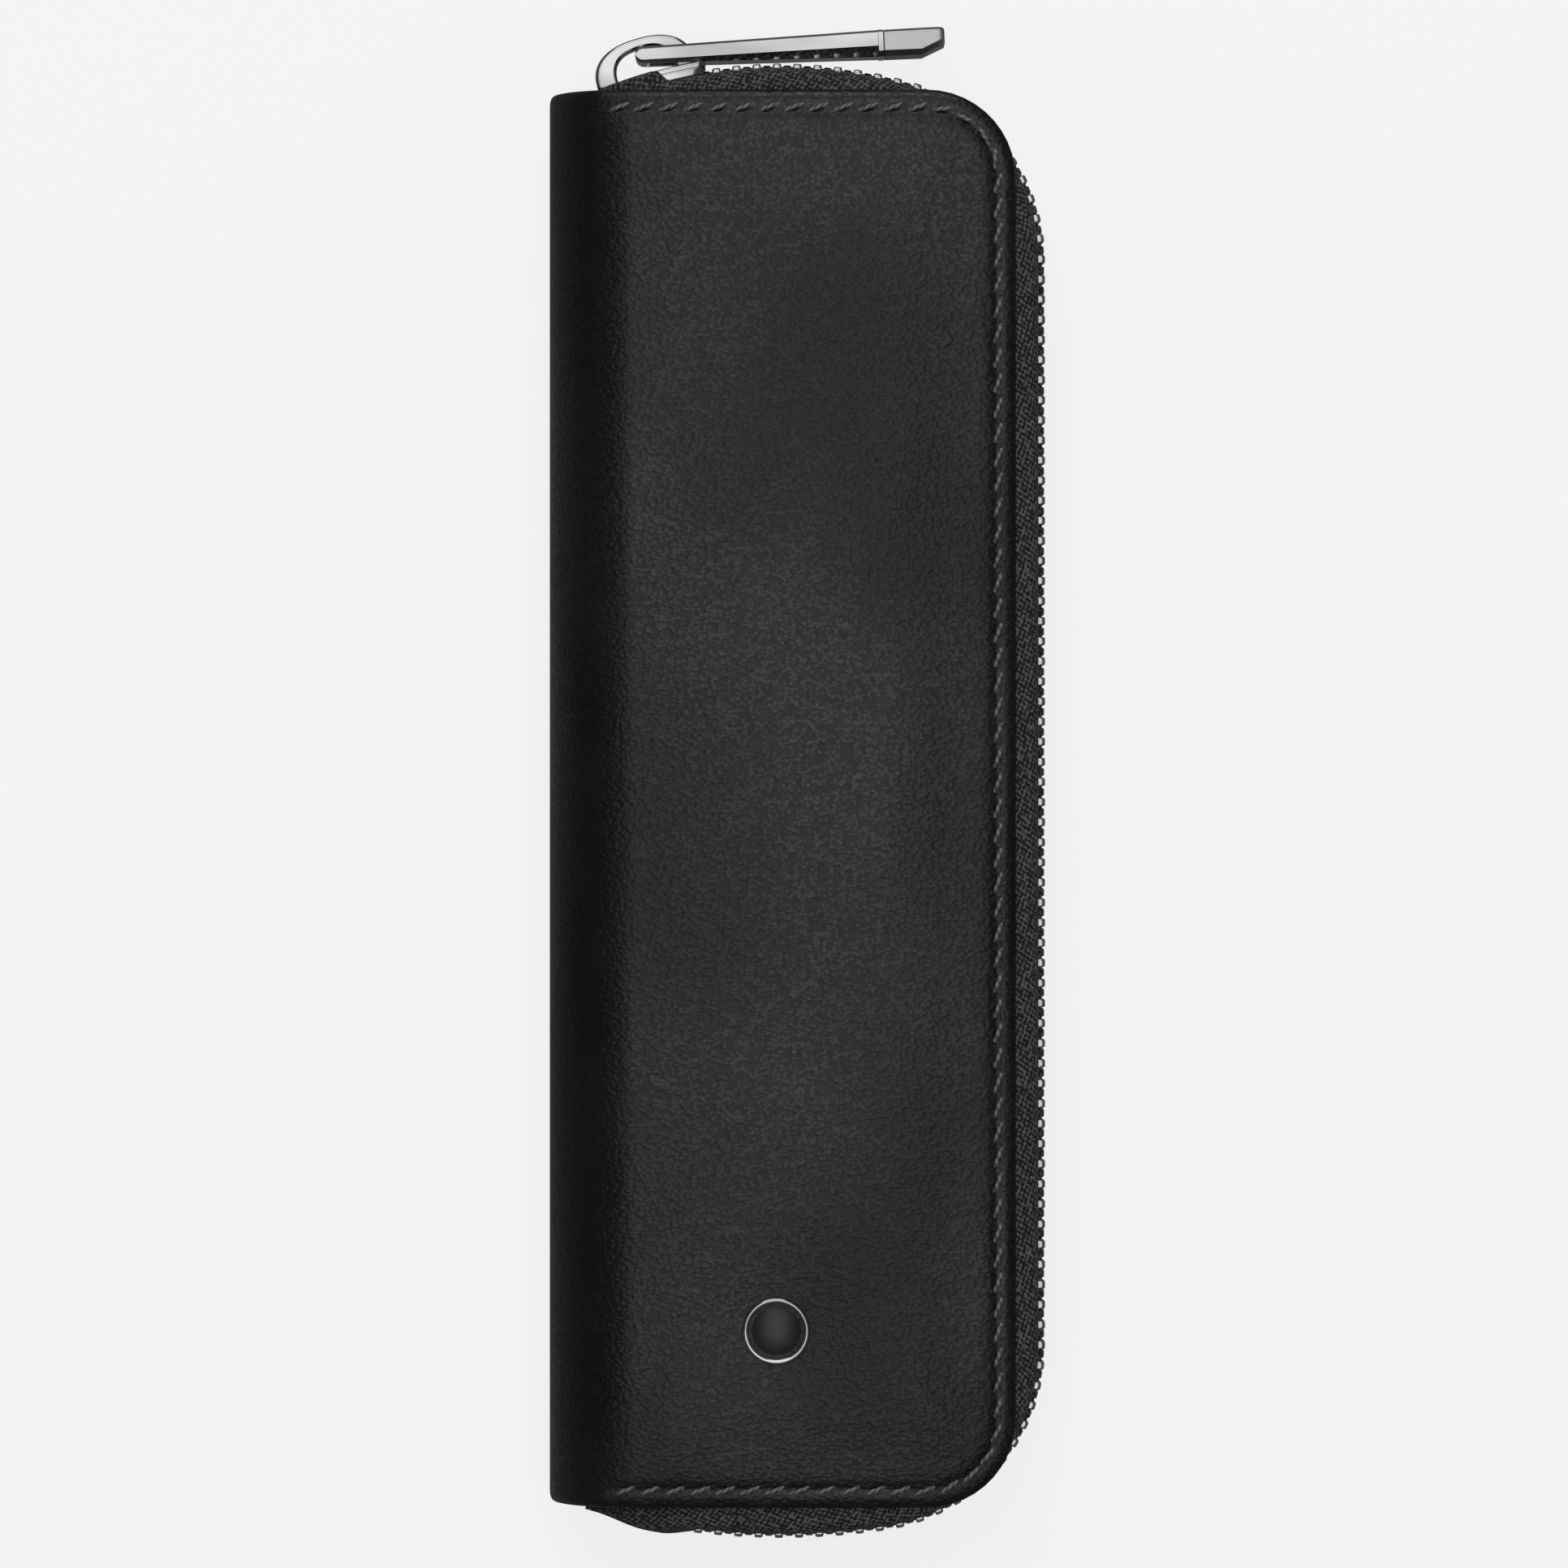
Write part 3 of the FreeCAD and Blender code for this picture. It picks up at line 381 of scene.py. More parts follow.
def make_piece(name, points, faces, material, flat=None):
    """A smooth-shaded object from points in millimetres, with flat-pattern coordinates if given."""
    mesh = bpy.data.meshes.new(name)
    mesh.from_pydata((np.asarray(points, float) * MM).tolist(), [], [list(map(int, face)) for face in faces])
    mesh.validate()
    if flat is not None:
        corners = np.zeros(len(mesh.loops), int)
        mesh.loops.foreach_get("vertex_index", corners)
        mesh.uv_layers.new(name="flat").data.foreach_set("uv", np.asarray(flat, float)[corners].ravel())
    mesh.shade_smooth()
    mesh.materials.append(material)
    made = bpy.data.objects.new(name, mesh)
    bpy.context.collection.objects.link(made)
    return made


# %% [markdown]
# ## Covers and their swell
#
# Soft leather over a board is not flat. The front swells in a soft crown, which sinks round the stud and
# has a small lump near each end of the spine. A cloth simulation could find such a form, but a sum of soft
# steps and waves puts each swell where it is wanted, and gives the same form on every run.

# %% Swell the front
STUD_X = -0.6
STUD_Y = -59.6
LUMPS = ((FOLD_X + 4.5, 70.5), (FOLD_X + 4.0, -72.0))


def padding(across, along, half_length, right, corner):
    """How far the cover swells at each point, from 0 at the stitches to 1 in the middle."""
    beyond = np.stack([across - right + corner, np.abs(along) - half_length + corner])
    outside = np.hypot(*np.maximum(beyond, 0)) + np.minimum(beyond.max(0), 0)
    swell = soft_step(corner - outside, 2.3, 15.0) * soft_step(across, FOLD_X - 5.0, FOLD_X + 13.0)
    from_stud = np.hypot(across - STUD_X, along - STUD_Y)
    slack = 1 + 0.16 * np.sin(along / 13 + across / 21 + 0.8) + 0.10 * np.sin(along / 6.1 - across / 9 + 2.0)
    lumps = sum(0.4 * np.exp(-((across - x) / 3.5) ** 2 - ((along - y) / 4.5) ** 2) for x, y in LUMPS)
    return swell * slack * (1 - 0.8 * np.exp(-(from_stud / 9) ** 2)) + lumps


# %% [markdown]
# A cover's outline has two rounded corners at the zip side. Rings of points follow that outline at growing
# insets, each with its own depth, so the turned edge and the stitch groove are just rows in a small table.
# A plain grid fills what is left in the middle.

# %% Build a cover sheet from an outline and an edge profile
BEND_COLUMNS = 25
FLAT_COLUMNS = 30
CORNER_ROWS = 12
STRAIGHT_ROWS = 70


def edge_depth(across, spine_depth, cover_depth):
    """Depth of a ring, which changes where the sewn edge of the cover begins."""
    sewn = soft_step(across, FOLD_X - 5.0, FOLD_X - 1.5)
    return spine_depth + (cover_depth - spine_depth) * sewn


def cover_sheet(half_length, right, corner, profile, crown, front):
    """Points, faces and flat coordinates of a cover that runs on to the first seam of the spine.

    A profile row is (inset, depth on the spine, depth on the cover)."""
    angles = np.linspace(math.pi / 2, 0, CORNER_ROWS)
    straight = np.linspace(1, -1, STRAIGHT_ROWS)[1:-1] * (half_length - corner)
    row_cos = np.concatenate([np.cos(angles), np.ones(len(straight)), np.cos(angles[::-1])])
    row_sin = np.concatenate([np.sin(angles), np.zeros(len(straight)), -np.sin(angles[::-1])])
    row_base = np.concatenate([np.full(CORNER_ROWS, half_length - corner), straight,
                               np.full(CORNER_ROWS, corner - half_length)])
    bend = np.linspace(FIRST_SEAM, FOLD_X, BEND_COLUMNS)
    shares = np.linspace(0, 1, FLAT_COLUMNS)[1:]

    def grid(inset):
        row_end = right - corner + (corner - inset) * row_cos
        along = row_base + (corner - inset) * row_sin
        flat = FOLD_X + shares[None, :] * (row_end[:, None] - FOLD_X)
        across = np.concatenate([np.repeat(bend[None, :], len(along), 0), flat], 1)
        return across, np.repeat(along[:, None], across.shape[1], 1)

    def border(field):
        return np.concatenate([field[0, :], field[1:-1, -1], field[-1, ::-1]])

    across_all, along_all, depth_all, rows = [], [], [], []
    count = 0
    for inset, spine_depth, cover_depth in profile[:-1]:
        across, along = (border(field) for field in grid(inset))
        across_all.append(across)
        along_all.append(along)
        depth_all.append(edge_depth(across, spine_depth, cover_depth))
        rows.append(np.arange(count, count + len(across)))
        count += len(across)
    faces = bands(rows)
    inset, spine_depth, cover_depth = profile[-1]
    across, along = grid(inset)
    depth = edge_depth(across, spine_depth, cover_depth)
    numbers = np.arange(count, count + across.size).reshape(across.shape)
    faces += bands(numbers)
    faces += bands([rows[-1], border(numbers)])
    across = np.concatenate(across_all + [across.ravel()])
    along = np.concatenate(along_all + [along.ravel()])
    depth = np.concatenate(depth_all + [depth.ravel()])
    depth = depth - crown * padding(across, along, half_length, right, corner)
    if front:
        across = 2 * MIDDLE_ACROSS - across
        faces = [face[::-1] for face in faces]
    return wrap(across, along, depth), faces, np.stack([across, along], 1)


# %% [markdown]
# Between its two seams the spine has no corners, so there one plain grid is enough. The same table shapes
# both of its ends.

# %% Build the strip of the spine
def spine_sheet(half_length, profile):
    """The strip of the same sheet between the two seams of the spine."""
    insets = np.array([row[0] for row in profile])
    depths = np.array([row[1] for row in profile])
    inner = np.linspace(half_length - insets[-1], insets[-1] - half_length, STRAIGHT_ROWS)[1:-1]
    along = np.concatenate([half_length - insets, inner, (insets - half_length)[::-1]])
    depth = np.concatenate([depths, np.full(len(inner), depths[-1]), depths[::-1]])
    across = np.linspace(FIRST_SEAM, SECOND_SEAM, BEND_COLUMNS)
    across, along = np.meshgrid(across, along)
    depth = np.repeat(depth[:, None], across.shape[1], 1)
    faces = bands(np.arange(across.size).reshape(across.shape))
    flat = np.stack([across.ravel(), along.ravel()], 1)
    return wrap(across.ravel(), along.ravel(), depth.ravel()), faces, flat


# %% [markdown]
# ## Leather covers and spine
#
# The edge is turned over, so the leather rolls down outside the stitches, dips in the stitch groove, and
# swells a little over the board in the middle. When the case opens, the sheet bends at each fold, so it is
# made in three pieces that each span one fold only and meet on the seams between the folds.

# %% Make one sheet in three pieces
def fold_points(fold, depth):
    """Start and end of a fold's bend, on the sheet's middle layer, in metres."""
    ends = np.array([FOLD_X - fold * TURN * SPINE, FOLD_X - (fold + 1) * TURN * SPINE])
    return [tuple(point * MM) for point in wrap(ends, np.zeros(2), np.full(2, depth))]


def wrapped_sheet(label, half_length, right, corner, profile, crown, material, middle, stands_for):
    """Back, spine and front pieces of one sheet, each bending over its own fold."""
    parts = [
        cover_sheet(half_length, right, corner, profile, 0.0, False),
        spine_sheet(half_length, profile),
        cover_sheet(half_length, right, corner, profile, crown, True),
    ]
    bodies = ["back", "spine_back", "spine_front", "front"]
    for fold, (points, faces, flat) in enumerate(parts):
        made = make_piece(f"{label}_{('back', 'spine', 'front')[fold]}", points, faces, material, flat)
        bodies[fold + 1]
        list(fold_points(fold, middle))
        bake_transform(made)
        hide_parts(*stands_for[fold])
        print(made.name, len(made.data.vertices), "points")


# %% Cut and wrap the leather
EDGE = [
    (6.0, 1.2, 1.2), (0.7, 1.2, 1.2), (0.3, 1.15, 1.18), (0.08, 1.0, 1.1), (0.0, 0.78, 0.95),
    (0.06, 0.5, 0.78), (0.2, 0.28, 0.63), (0.45, 0.12, 0.50), (0.8, 0.03, 0.38), (1.3, 0.0, 0.28),
    (1.7, 0.0, 0.30), (2.0, 0.0, 0.38), (2.3, 0.0, 0.30), (2.7, 0.0, 0.15), (3.3, 0.0, 0.05),
    (4.5, 0.0, 0.0), (6.0, 0.0, 0.0), (8.0, 0.0, 0.0),
]
FRONT_CROWN = 0.75
LEATHER_NODES = [["back_cover_leather"], ["spine_back_leather", "spine_front_leather"],
                 ["front_cover_leather"]]
wrapped_sheet("leather", LENGTH / 2, WIDTH / 2, CORNER, EDGE, FRONT_CROWN, leather, LEATHER / 2,
              LEATHER_NODES)

# %% [markdown]
# The lining is a second, thinner sheet glued inside. It stops short of the leather's edge and has rounder
# corners, because there the zip tape cuts in.

# %% Wrap the lining
LINING_HALF = 78.2
LINING_RIGHT = 25.0
LINING_CORNER = 16.0
LINING_MIDDLE = 2.4
LINING_FACE = 2.8
LINING_EDGE = [(4.0, 2.05, 2.05), (0.3, 2.05, 2.05), (0.0, 2.3, 2.3), (0.1, 2.6, 2.6), (0.4, 2.77, 2.77),
               (0.9, LINING_FACE, LINING_FACE), (6.0, LINING_FACE, LINING_FACE)]
LINED_NODES = [["back_cover_lining"], ["spine_back_lining", "spine_front_lining"], ["front_cover_lining"]]
wrapped_sheet("lining", LINING_HALF, LINING_RIGHT, LINING_CORNER, LINING_EDGE, 0.0, lining,
              LINING_MIDDLE, LINED_NODES)

# %% [markdown]
# ## Stitching
#
# One row of waxed thread holds the turned edge, 2 mm in and 2.8 mm from stitch to stitch. Each stitch is a
# short bent tube that rises out of one hole and dives into the next at a slant. Copies of one stitch would
# do on a stiff cover, but the first and last stitches bend with the spine, so each cover's row is one mesh,
# laid along the flat outline and wrapped like the leather.

# %% Follow the stitch line on the flat sheet
STITCH_INSET = 2.0
STITCH_START = FOLD_X - 3.4


def outline_point(distance):
    """Place and heading on the stitch line, from the upper end of the spine round to the lower end."""
    right = WIDTH / 2 - CORNER
    top = LENGTH / 2 - STITCH_INSET
    radius = CORNER - STITCH_INSET
    run = right - STITCH_START
    side = LENGTH - 2 * CORNER
    quarter = radius * math.pi / 2
    if distance < run:
        return STITCH_START + distance, top, 0.0
    distance -= run
    if distance < quarter:
        angle = distance / radius
        return right + radius * math.sin(angle), LENGTH / 2 - CORNER + radius * math.cos(angle), angle
    distance -= quarter
    if distance < side:
        return right + radius, LENGTH / 2 - CORNER - distance, math.pi / 2
    distance -= side
    if distance < quarter:
        angle = math.pi / 2 + distance / radius
        return right + radius * math.sin(angle), CORNER - LENGTH / 2 + radius * math.cos(angle), angle
    return right - (distance - quarter), -top, math.pi


# %% Bend the stitches of one cover
STITCH_PITCH = 2.8
STITCH_HALF = 1.18
STITCH_SLANT = 0.42
STITCH_RISE = 0.30
STITCH_DIVE = 0.42
THREAD_RADIUS = 0.27
FRONT_HOLE = 0.34
BACK_HOLE = 0.54
RING_SIDES = 7
BEND_STEPS = 9


def stitch_row(front):
    """All the stitches of one cover as one mesh."""
    run = 2 * (WIDTH / 2 - CORNER - STITCH_START) + LENGTH - 2 * CORNER + math.pi * (CORNER - STITCH_INSET)
    count = int(run / STITCH_PITCH)
    points, flat, faces = [], [], []
    shares = np.linspace(-1, 1, BEND_STEPS)
    turns = np.linspace(0, 2 * math.pi, RING_SIDES, endpoint=False)
    for number in range(count):
        across, along, heading = outline_point((number + 0.5) * STITCH_PITCH)
        slant = STITCH_SLANT * math.cos(2 * heading)
        forward = np.array([math.cos(heading), -math.sin(heading)])
        outward = np.array([math.sin(heading), math.cos(heading)])
        rows = []
        for share in shares:
            girth = THREAD_RADIUS * (1 - 0.35 * share ** 4)
            lift = STITCH_RISE - STITCH_DIVE * share ** 2
            centre = np.array([across, along]) + forward * STITCH_HALF * share + outward * slant * share
            ring = centre[None, :] + outward[None, :] * girth * np.cos(turns)[:, None]
            depth = (FRONT_HOLE if front else BACK_HOLE) - lift - 0.8 * girth * np.sin(turns)
            rows.append(np.arange(len(points), len(points) + RING_SIDES))
            ring_across = 2 * MIDDLE_ACROSS - ring[:, 0] if front else ring[:, 0]
            points.extend(wrap(ring_across, ring[:, 1], depth))
            flat.extend(np.stack([np.full(RING_SIDES, share * 1.2 + number), turns * girth], 1))
        faces += bands(rows, closed=True)
    return points, faces, flat, count


# %% Sew both covers
for body, strip, fold, front in (("back", "spine_back", 0, False), ("spine_front", "front", 2, True)):
    points, faces, flat, count = stitch_row(front)
    stitches = make_piece(f"stitches_{'front' if front else 'back'}", points, faces, thread, flat)
    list(fold_points(fold, 0.0))
    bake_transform(stitches)
    print(stitches.name, count, "stitches")

# %% [markdown]
# ## The zip's course
#
# The chain follows a shallow arch along each end, a corner, and the straight side. A curve object could
# hold that line, but four arcs and a straight are short sums. Walking a distance along them gives a place
# and an outward heading, which is all that tape, teeth and stops need.

# %% Draw one end of the course
ZIP_BULGE = 2.6
ZIP_CORNER = 20.0
SIDE_X = WIDTH / 2 + ZIP_BULGE
CORNER_X = SIDE_X - ZIP_CORNER


class ZipEnd:
    """The arch across one end of the case and the corner after it, drawn for the end at +Y."""

    def __init__(self, arch, bulge):
        self.arch = arch
        self.arch_y = LENGTH / 2 + bulge - arch
        self.corner_y = self.arch_y + math.sqrt((arch - ZIP_CORNER) ** 2 - CORNER_X ** 2)
        self.tangent = math.asin(CORNER_X / (arch - ZIP_CORNER))
        self.corner_run = ZIP_CORNER * (math.pi / 2 - self.tangent)

    def on_arch(self, angle):
        return self.arch * math.sin(angle), self.arch_y + self.arch * math.cos(angle)

    def on_corner(self, angle):
        return CORNER_X + ZIP_CORNER * math.sin(angle), self.corner_y + ZIP_CORNER * math.cos(angle)


HEAD_ARCH = 52.0
FOOT_ARCH = 80.0
FOOT_BULGE = 3.1
HEAD = ZipEnd(HEAD_ARCH, ZIP_BULGE)
FOOT = ZipEnd(FOOT_ARCH, FOOT_BULGE)
print("corners end at, mm:", round(HEAD.corner_y, 1), round(-FOOT.corner_y, 1))

# %% Walk along the zip
SLIDER_HALF = math.radians(6.9)
SLIDER_INSET = 5.85
SLIDER_PARK = math.asin((WIDTH / 2 - SLIDER_INSET) / HEAD.arch) - SLIDER_HALF
ARCH_RUN = HEAD.arch * (SLIDER_PARK + HEAD.tangent)
SIDE_START = ARCH_RUN + HEAD.corner_run
SIDE_END = SIDE_START + HEAD.corner_y + FOOT.corner_y
FOOT_START = SIDE_END + FOOT.corner_run


def course(distance):
    """Place on the tape's outer face and outward heading, from the parked slider's middle."""
    if distance < ARCH_RUN:
        angle = distance / HEAD.arch - SLIDER_PARK
        return *HEAD.on_arch(angle), angle
    if distance < SIDE_START:
        angle = HEAD.tangent + (distance - ARCH_RUN) / ZIP_CORNER
        return *HEAD.on_corner(angle), angle
    if distance < SIDE_END:
        return SIDE_X, HEAD.corner_y - (distance - SIDE_START), math.pi / 2
    if distance < FOOT_START:
        angle = math.pi / 2 - (distance - SIDE_END) / ZIP_CORNER
        x, y = FOOT.on_corner(angle)
    else:
        angle = FOOT.tangent - (distance - FOOT_START) / FOOT.arch
        x, y = FOOT.on_arch(angle)
    return x, -y, math.pi - angle


def beside(distance, offset, height):
    """A point beside the course: offset outwards, at a height above the back."""
    x, y, angle = course(distance)
    return [x + offset * math.sin(angle), y + offset * math.cos(angle), height]


print("course up to the foot's arch:", round(FOOT_START, 1), "mm")

# %% [markdown]
# ## Zip tape
#
# Each tape is sewn flat under the leather, comes out at the edge, and bends up to the middle of the case,
# where its corded edge carries the teeth. One profile swept along the course makes it. At the hollow spine
# the sewn margin shrinks to what the leather's edge hides, the cloth lifts off the leather, and it puckers
# outwards: beside the parked slider at the head, and before the stop at the foot.

# %% The tape's profile and its ends
TAPE_PROFILE = [
    (-6.0, 1.25), (-3.5, 1.25), (-1.5, 1.25), (-0.75, 1.42), (-0.2, 1.95), (0.0, 2.7), (0.0, 3.3), (0.0, 4.0),
    (0.0, 4.7), (0.0, 5.4), (0.0, 6.0), (0.0, 7.35), (0.3, 7.48), (0.55, 7.7), (0.55, 8.1), (0.25, 8.45),
    (-0.95, 8.45), (-1.25, 8.1), (-1.25, 7.7), (-1.0, 7.48), (-0.7, 7.35), (-0.7, 6.0), (-0.7, 5.4),
    (-0.7, 4.7), (-0.7, 4.0), (-0.7, 3.3), (-0.7, 2.8), (-0.95, 2.25), (-1.5, 1.95), (-3.5, 1.95),
    (-6.0, 1.95),
]
TAPE_LEAD = 1.8
TAIL_X = 22.0
TAPE_START = -HEAD.arch * SLIDER_HALF - TAPE_LEAD
TAPE_END = FOOT_START + FOOT.arch * (FOOT.tangent + math.asin(TAIL_X / FOOT.arch))


def pucker(x, height, at_head):
    """How far the cloth stands out near the tape's ends."""
    out_of_seam = soft_step(height, 1.6, 3.4)
    if at_head:
        return 1.7 * soft_step(-x, 12.4, 13.8) * out_of_seam * (1 - soft_step(height, 5.1, 6.0))
    return (0.95 * soft_step(-x, 8.5, 13.5) - 0.75 * soft_step(-x, 15.0, 21.0)) * out_of_seam


print("tape length along the chain:", round(TAPE_END - TAPE_START, 1), "mm")

# %% Sweep the two tapes
HOLLOW = 7.0
TAIL_HALF = 3.2
STATIONS = 330


def sweep_tape(front):
    """Points, faces and flat coordinates of one tape."""
    profile = np.array(TAPE_PROFILE)
    girth = np.concatenate([[0], np.cumsum(np.linalg.norm(np.diff(profile, axis=0), axis=1))])
    points, flat, rows = [], [], []
    for distance in np.linspace(TAPE_START, TAPE_END, STATIONS):
        x, y, angle = course(distance)
        lifted = soft_step(-x, 10.5, 17.0)
        narrow = soft_step(-x, 13.0, 15.8)
        reach = max(abs(y) - LENGTH / 2 + 1.0, 0.7)
        lowest = SPINE - math.sqrt(max(HOLLOW ** 2 - max(FOLD_X - x, 0.0) ** 2, TAIL_HALF ** 2))
        rows.append(np.arange(len(points), len(points) + len(profile)))
        for (offset, height), run in zip(profile, girth):
            out = pucker(x, height, y > 0)
            offset += (max(offset, -reach) - offset) * narrow + out
            height += (max(height, lowest) - height) * lifted
            points.append(beside(distance, offset, DEPTH - height if front else height))
            flat.append((distance, run))
    faces = bands(rows)
    if front:
        faces = [face[::-1] for face in faces]
    return points, faces, flat


for body, stands_for in (("back", ["back_zip_tape"]), ("front", ["front_zip_tape", "front_zip_tape_ends"])):
    points, faces, flat = sweep_tape(body == "front")
    tape = make_piece(f"tape_{body}", points, faces, tape_cloth, flat)
    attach(tape, body)
    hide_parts(*stands_for)
    print(tape.name, len(points), "points")

# %% [markdown]
# ## Teeth and stops
#
# Every tooth is pressed over the tape's edge: a broad foot, a slight neck, and a rounded head that locks
# between two heads of the other row. A tooth is a stack of rounded outlines, smooth round its sides and
# flat at both ends. An array bent along a curve would bend the teeth too, so the same stack is set down
# once per pitch, turned to the course.

# %% Press one row of teeth
TOOTH_EDGE = 0.22
TOOTH_MIDDLE = -0.4
TOOTH_HALF = 1.3


def rounded_outline(half_wide, half_high, radius, steps=3):
    """Points round a rectangle with rounded corners, counter-clockwise."""
    outline = []
    for quarter, (side_x, side_y) in enumerate(((1, 1), (-1, 1), (-1, -1), (1, -1))):
        for step in range(steps + 1):
            angle = (quarter + step / steps) * math.pi / 2
            outline.append((side_x * (half_wide - radius) + radius * math.cos(angle),
                            side_y * (half_high - radius) + radius * math.sin(angle)))
    return np.array(outline)


def press_teeth(name, places, stack, width, front, stands_for):
    """One mesh with a tooth at each place along the course."""
    points, faces = [], []
    for place in places:
        x, y, angle = course(place)
        outward = np.array([math.sin(angle), math.cos(angle)])
        forward = np.array([math.cos(angle), -math.sin(angle)])
        rows = []
        for height, scale in stack:
            outline = rounded_outline(TOOTH_HALF * scale, width / 2 * scale, TOOTH_EDGE)
            spot = np.array([x, y]) + (TOOTH_MIDDLE + outline[:, :1]) * outward + outline[:, 1:] * forward
            rows.append(np.arange(len(points), len(points) + len(outline)))
            level = np.full((len(outline), 1), DEPTH - height if front else height)
            points.extend(np.concatenate([spot, level], 1))
        faces += bands(rows, closed=True)
        faces += [list(rows[0][::-1]), list(rows[-1])]
    made = make_piece(name, points, faces, tooth_metal)
    for face in made.data.polygons:
        face.use_smooth = face.loop_total == 4
    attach(made, "front" if front else "back")
    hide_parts(stands_for)
    print(name, len(places))


# %% [markdown]
# Each row is two meshes, the run along the head and the rest, because the slider travels only the first.
# The rows start half a pitch apart, so that they lock. Small stops, pressed on like teeth, close the ends.

# %% Set the teeth and the stops
PITCH = 2.27
TOOTH_WIDTH = 0.95
STOP_WIDTH = 1.3
TOOTH_STACK = [(7.2, 0.72), (7.28, 0.93), (7.5, 1.0), (8.9, 1.0), (9.25, 0.9), (9.6, 0.86), (10.1, 0.97),
               (10.55, 0.97), (10.8, 0.86), (10.9, 0.6)]
STOP_STACK = [(7.2, 0.8), (7.3, 0.97), (7.6, 1.0), (8.7, 1.0), (8.9, 0.95), (9.0, 0.8)]
LONG_STOP_STACK = [(7.2, 0.6), (7.3, 0.68), (7.6, 0.7), (10.9, 0.7), (11.2, 0.66), (11.3, 0.55)]
PAST_FOLD = 1.3
STOP_GAP = 0.85
COURSE_RUN = FOOT_START + FOOT.arch * (FOOT.tangent + math.asin((PAST_FOLD - FOLD_X) / FOOT.arch))
TOP_STOP = -HEAD.arch * SLIDER_HALF - STOP_GAP
for row, lead, front in (("back", 0.75, False), ("front", 0.25, True)):
    places = [PITCH * (number + lead) for number in range(int(COURSE_RUN / PITCH))]
    top_run = [place for place in places if place < ARCH_RUN]
    long_run = [place for place in places if place >= ARCH_RUN]
    press_teeth(f"teeth_{row}_top", top_run, TOOTH_STACK, TOOTH_WIDTH, front, f"{row}_zip_teeth_top_run")
    press_teeth(f"teeth_{row}", long_run, TOOTH_STACK, TOOTH_WIDTH, front, f"{row}_zip_teeth")
    press_teeth(f"stop_{row}", [TOP_STOP], STOP_STACK, STOP_WIDTH, front, f"{row}_top_stop")
press_teeth("stop_end", [COURSE_RUN + STOP_WIDTH], LONG_STOP_STACK, STOP_WIDTH, False, "bottom_stop")

# %% [markdown]
# ## Slider and bail
#
# A slider is two plates joined by a post at its wide end, with flanges that hug the teeth. It is cast, so
# every edge is soft. Bevelled boxes could stand for it, but it follows the curve of the head. Rounded
# outlines set one after another along that arch, with a skin over them, give plates, flanges and post
# alike.

# %% Skin a run of outlines
def skin(rows_of_points):
    """Points and faces of a capped tube through outlines with the same count."""
    points = np.concatenate(rows_of_points)
    count = len(rows_of_points[0])
    rows = [np.arange(number * count, (number + 1) * count) for number in range(len(rows_of_points))]
    faces = bands(rows, closed=True) + [list(rows[0][::-1]), list(rows[-1])]
    return points, faces


def join_skins(name, skins, material):
    """Several skinned tubes as one object."""
    points, faces = [], []
    for new_points, new_faces in skins:
        faces += [[number + len(points) for number in face] for face in new_faces]
        points.extend(new_points)
    return make_piece(name, points, faces, material)


# %% Bars along the arch
SLIDER_EDGE = 0.16


def on_slider(run, rise, height):
    """A point of the slider: run along the arch, rise from the tape's face, height above the back."""
    angle = SLIDER_PARK - run / HEAD.arch
    radius = HEAD.arch + rise
    return [-radius * math.sin(angle), HEAD.arch_y + radius * math.cos(angle), height]


def slider_bar(runs, side_low, side_high, rise_low, rise_high, edge=0.25):
    """A rounded bar along the arch, whose two sides are functions of the run."""
    rows = []
    for index, run in enumerate(runs):
        shrink = SLIDER_EDGE if index in (0, len(runs) - 1) else 0.0
        low = side_low(run) + shrink
        high = side_high(run) - shrink
        half_wide = (high - low) / 2
        half_high = (rise_high - rise_low) / 2 - shrink
        outline = rounded_outline(half_wide, half_high, min(edge, half_wide * 0.9, half_high * 0.9))
        outline += [(low + high) / 2, (rise_low + rise_high) / 2]
        rows.append(np.array([on_slider(run, up, SPINE + sideways) for sideways, up in outline]))
    return skin(rows)


# %% Cast the slider
HALF_RUN = HEAD.arch * SLIDER_HALF
BAR_RUNS = [-HALF_RUN, -HALF_RUN + SLIDER_EDGE] + list(np.linspace(-HALF_RUN + 1, HALF_RUN - 1, 9)) + [
    HALF_RUN - SLIDER_EDGE, HALF_RUN]
FLANGE_RUNS = [-HALF_RUN + 1.6, -HALF_RUN + 1.8] + list(np.linspace(-3.5, HALF_RUN - 0.6, 7)) + [
    HALF_RUN - 0.3]
POST_RUNS = [-HALF_RUN + 0.4, -HALF_RUN + 0.6, -3.0, -0.5, -0.3]
PLATE_TOP = 1.9
PLATES = ((1.1, PLATE_TOP), (-2.7, -1.9))
FLANGES = ((0.25, 1.35), (-2.15, -1.05))
FLANGE_FACE = 3.02
FLANGE_EDGE = 0.2
POST_HALF = 0.75
POST_RISES = (-2.0, 1.2)
POST_EDGE = 0.3


def plate_side(run):
    """Half the width of a plate, which is rounded at the nose and narrows to the closed end."""
    waist = 3.8 - 0.3 * soft_step(run, -1.0, HALF_RUN)
    return waist - 1.3 * soft_step(-run, HALF_RUN - 2.0, HALF_RUN + 0.6) ** 2


def other_side(run):
    return -plate_side(run)


def steady(value):
    """A side that stays at one value all along."""
    return lambda run: value


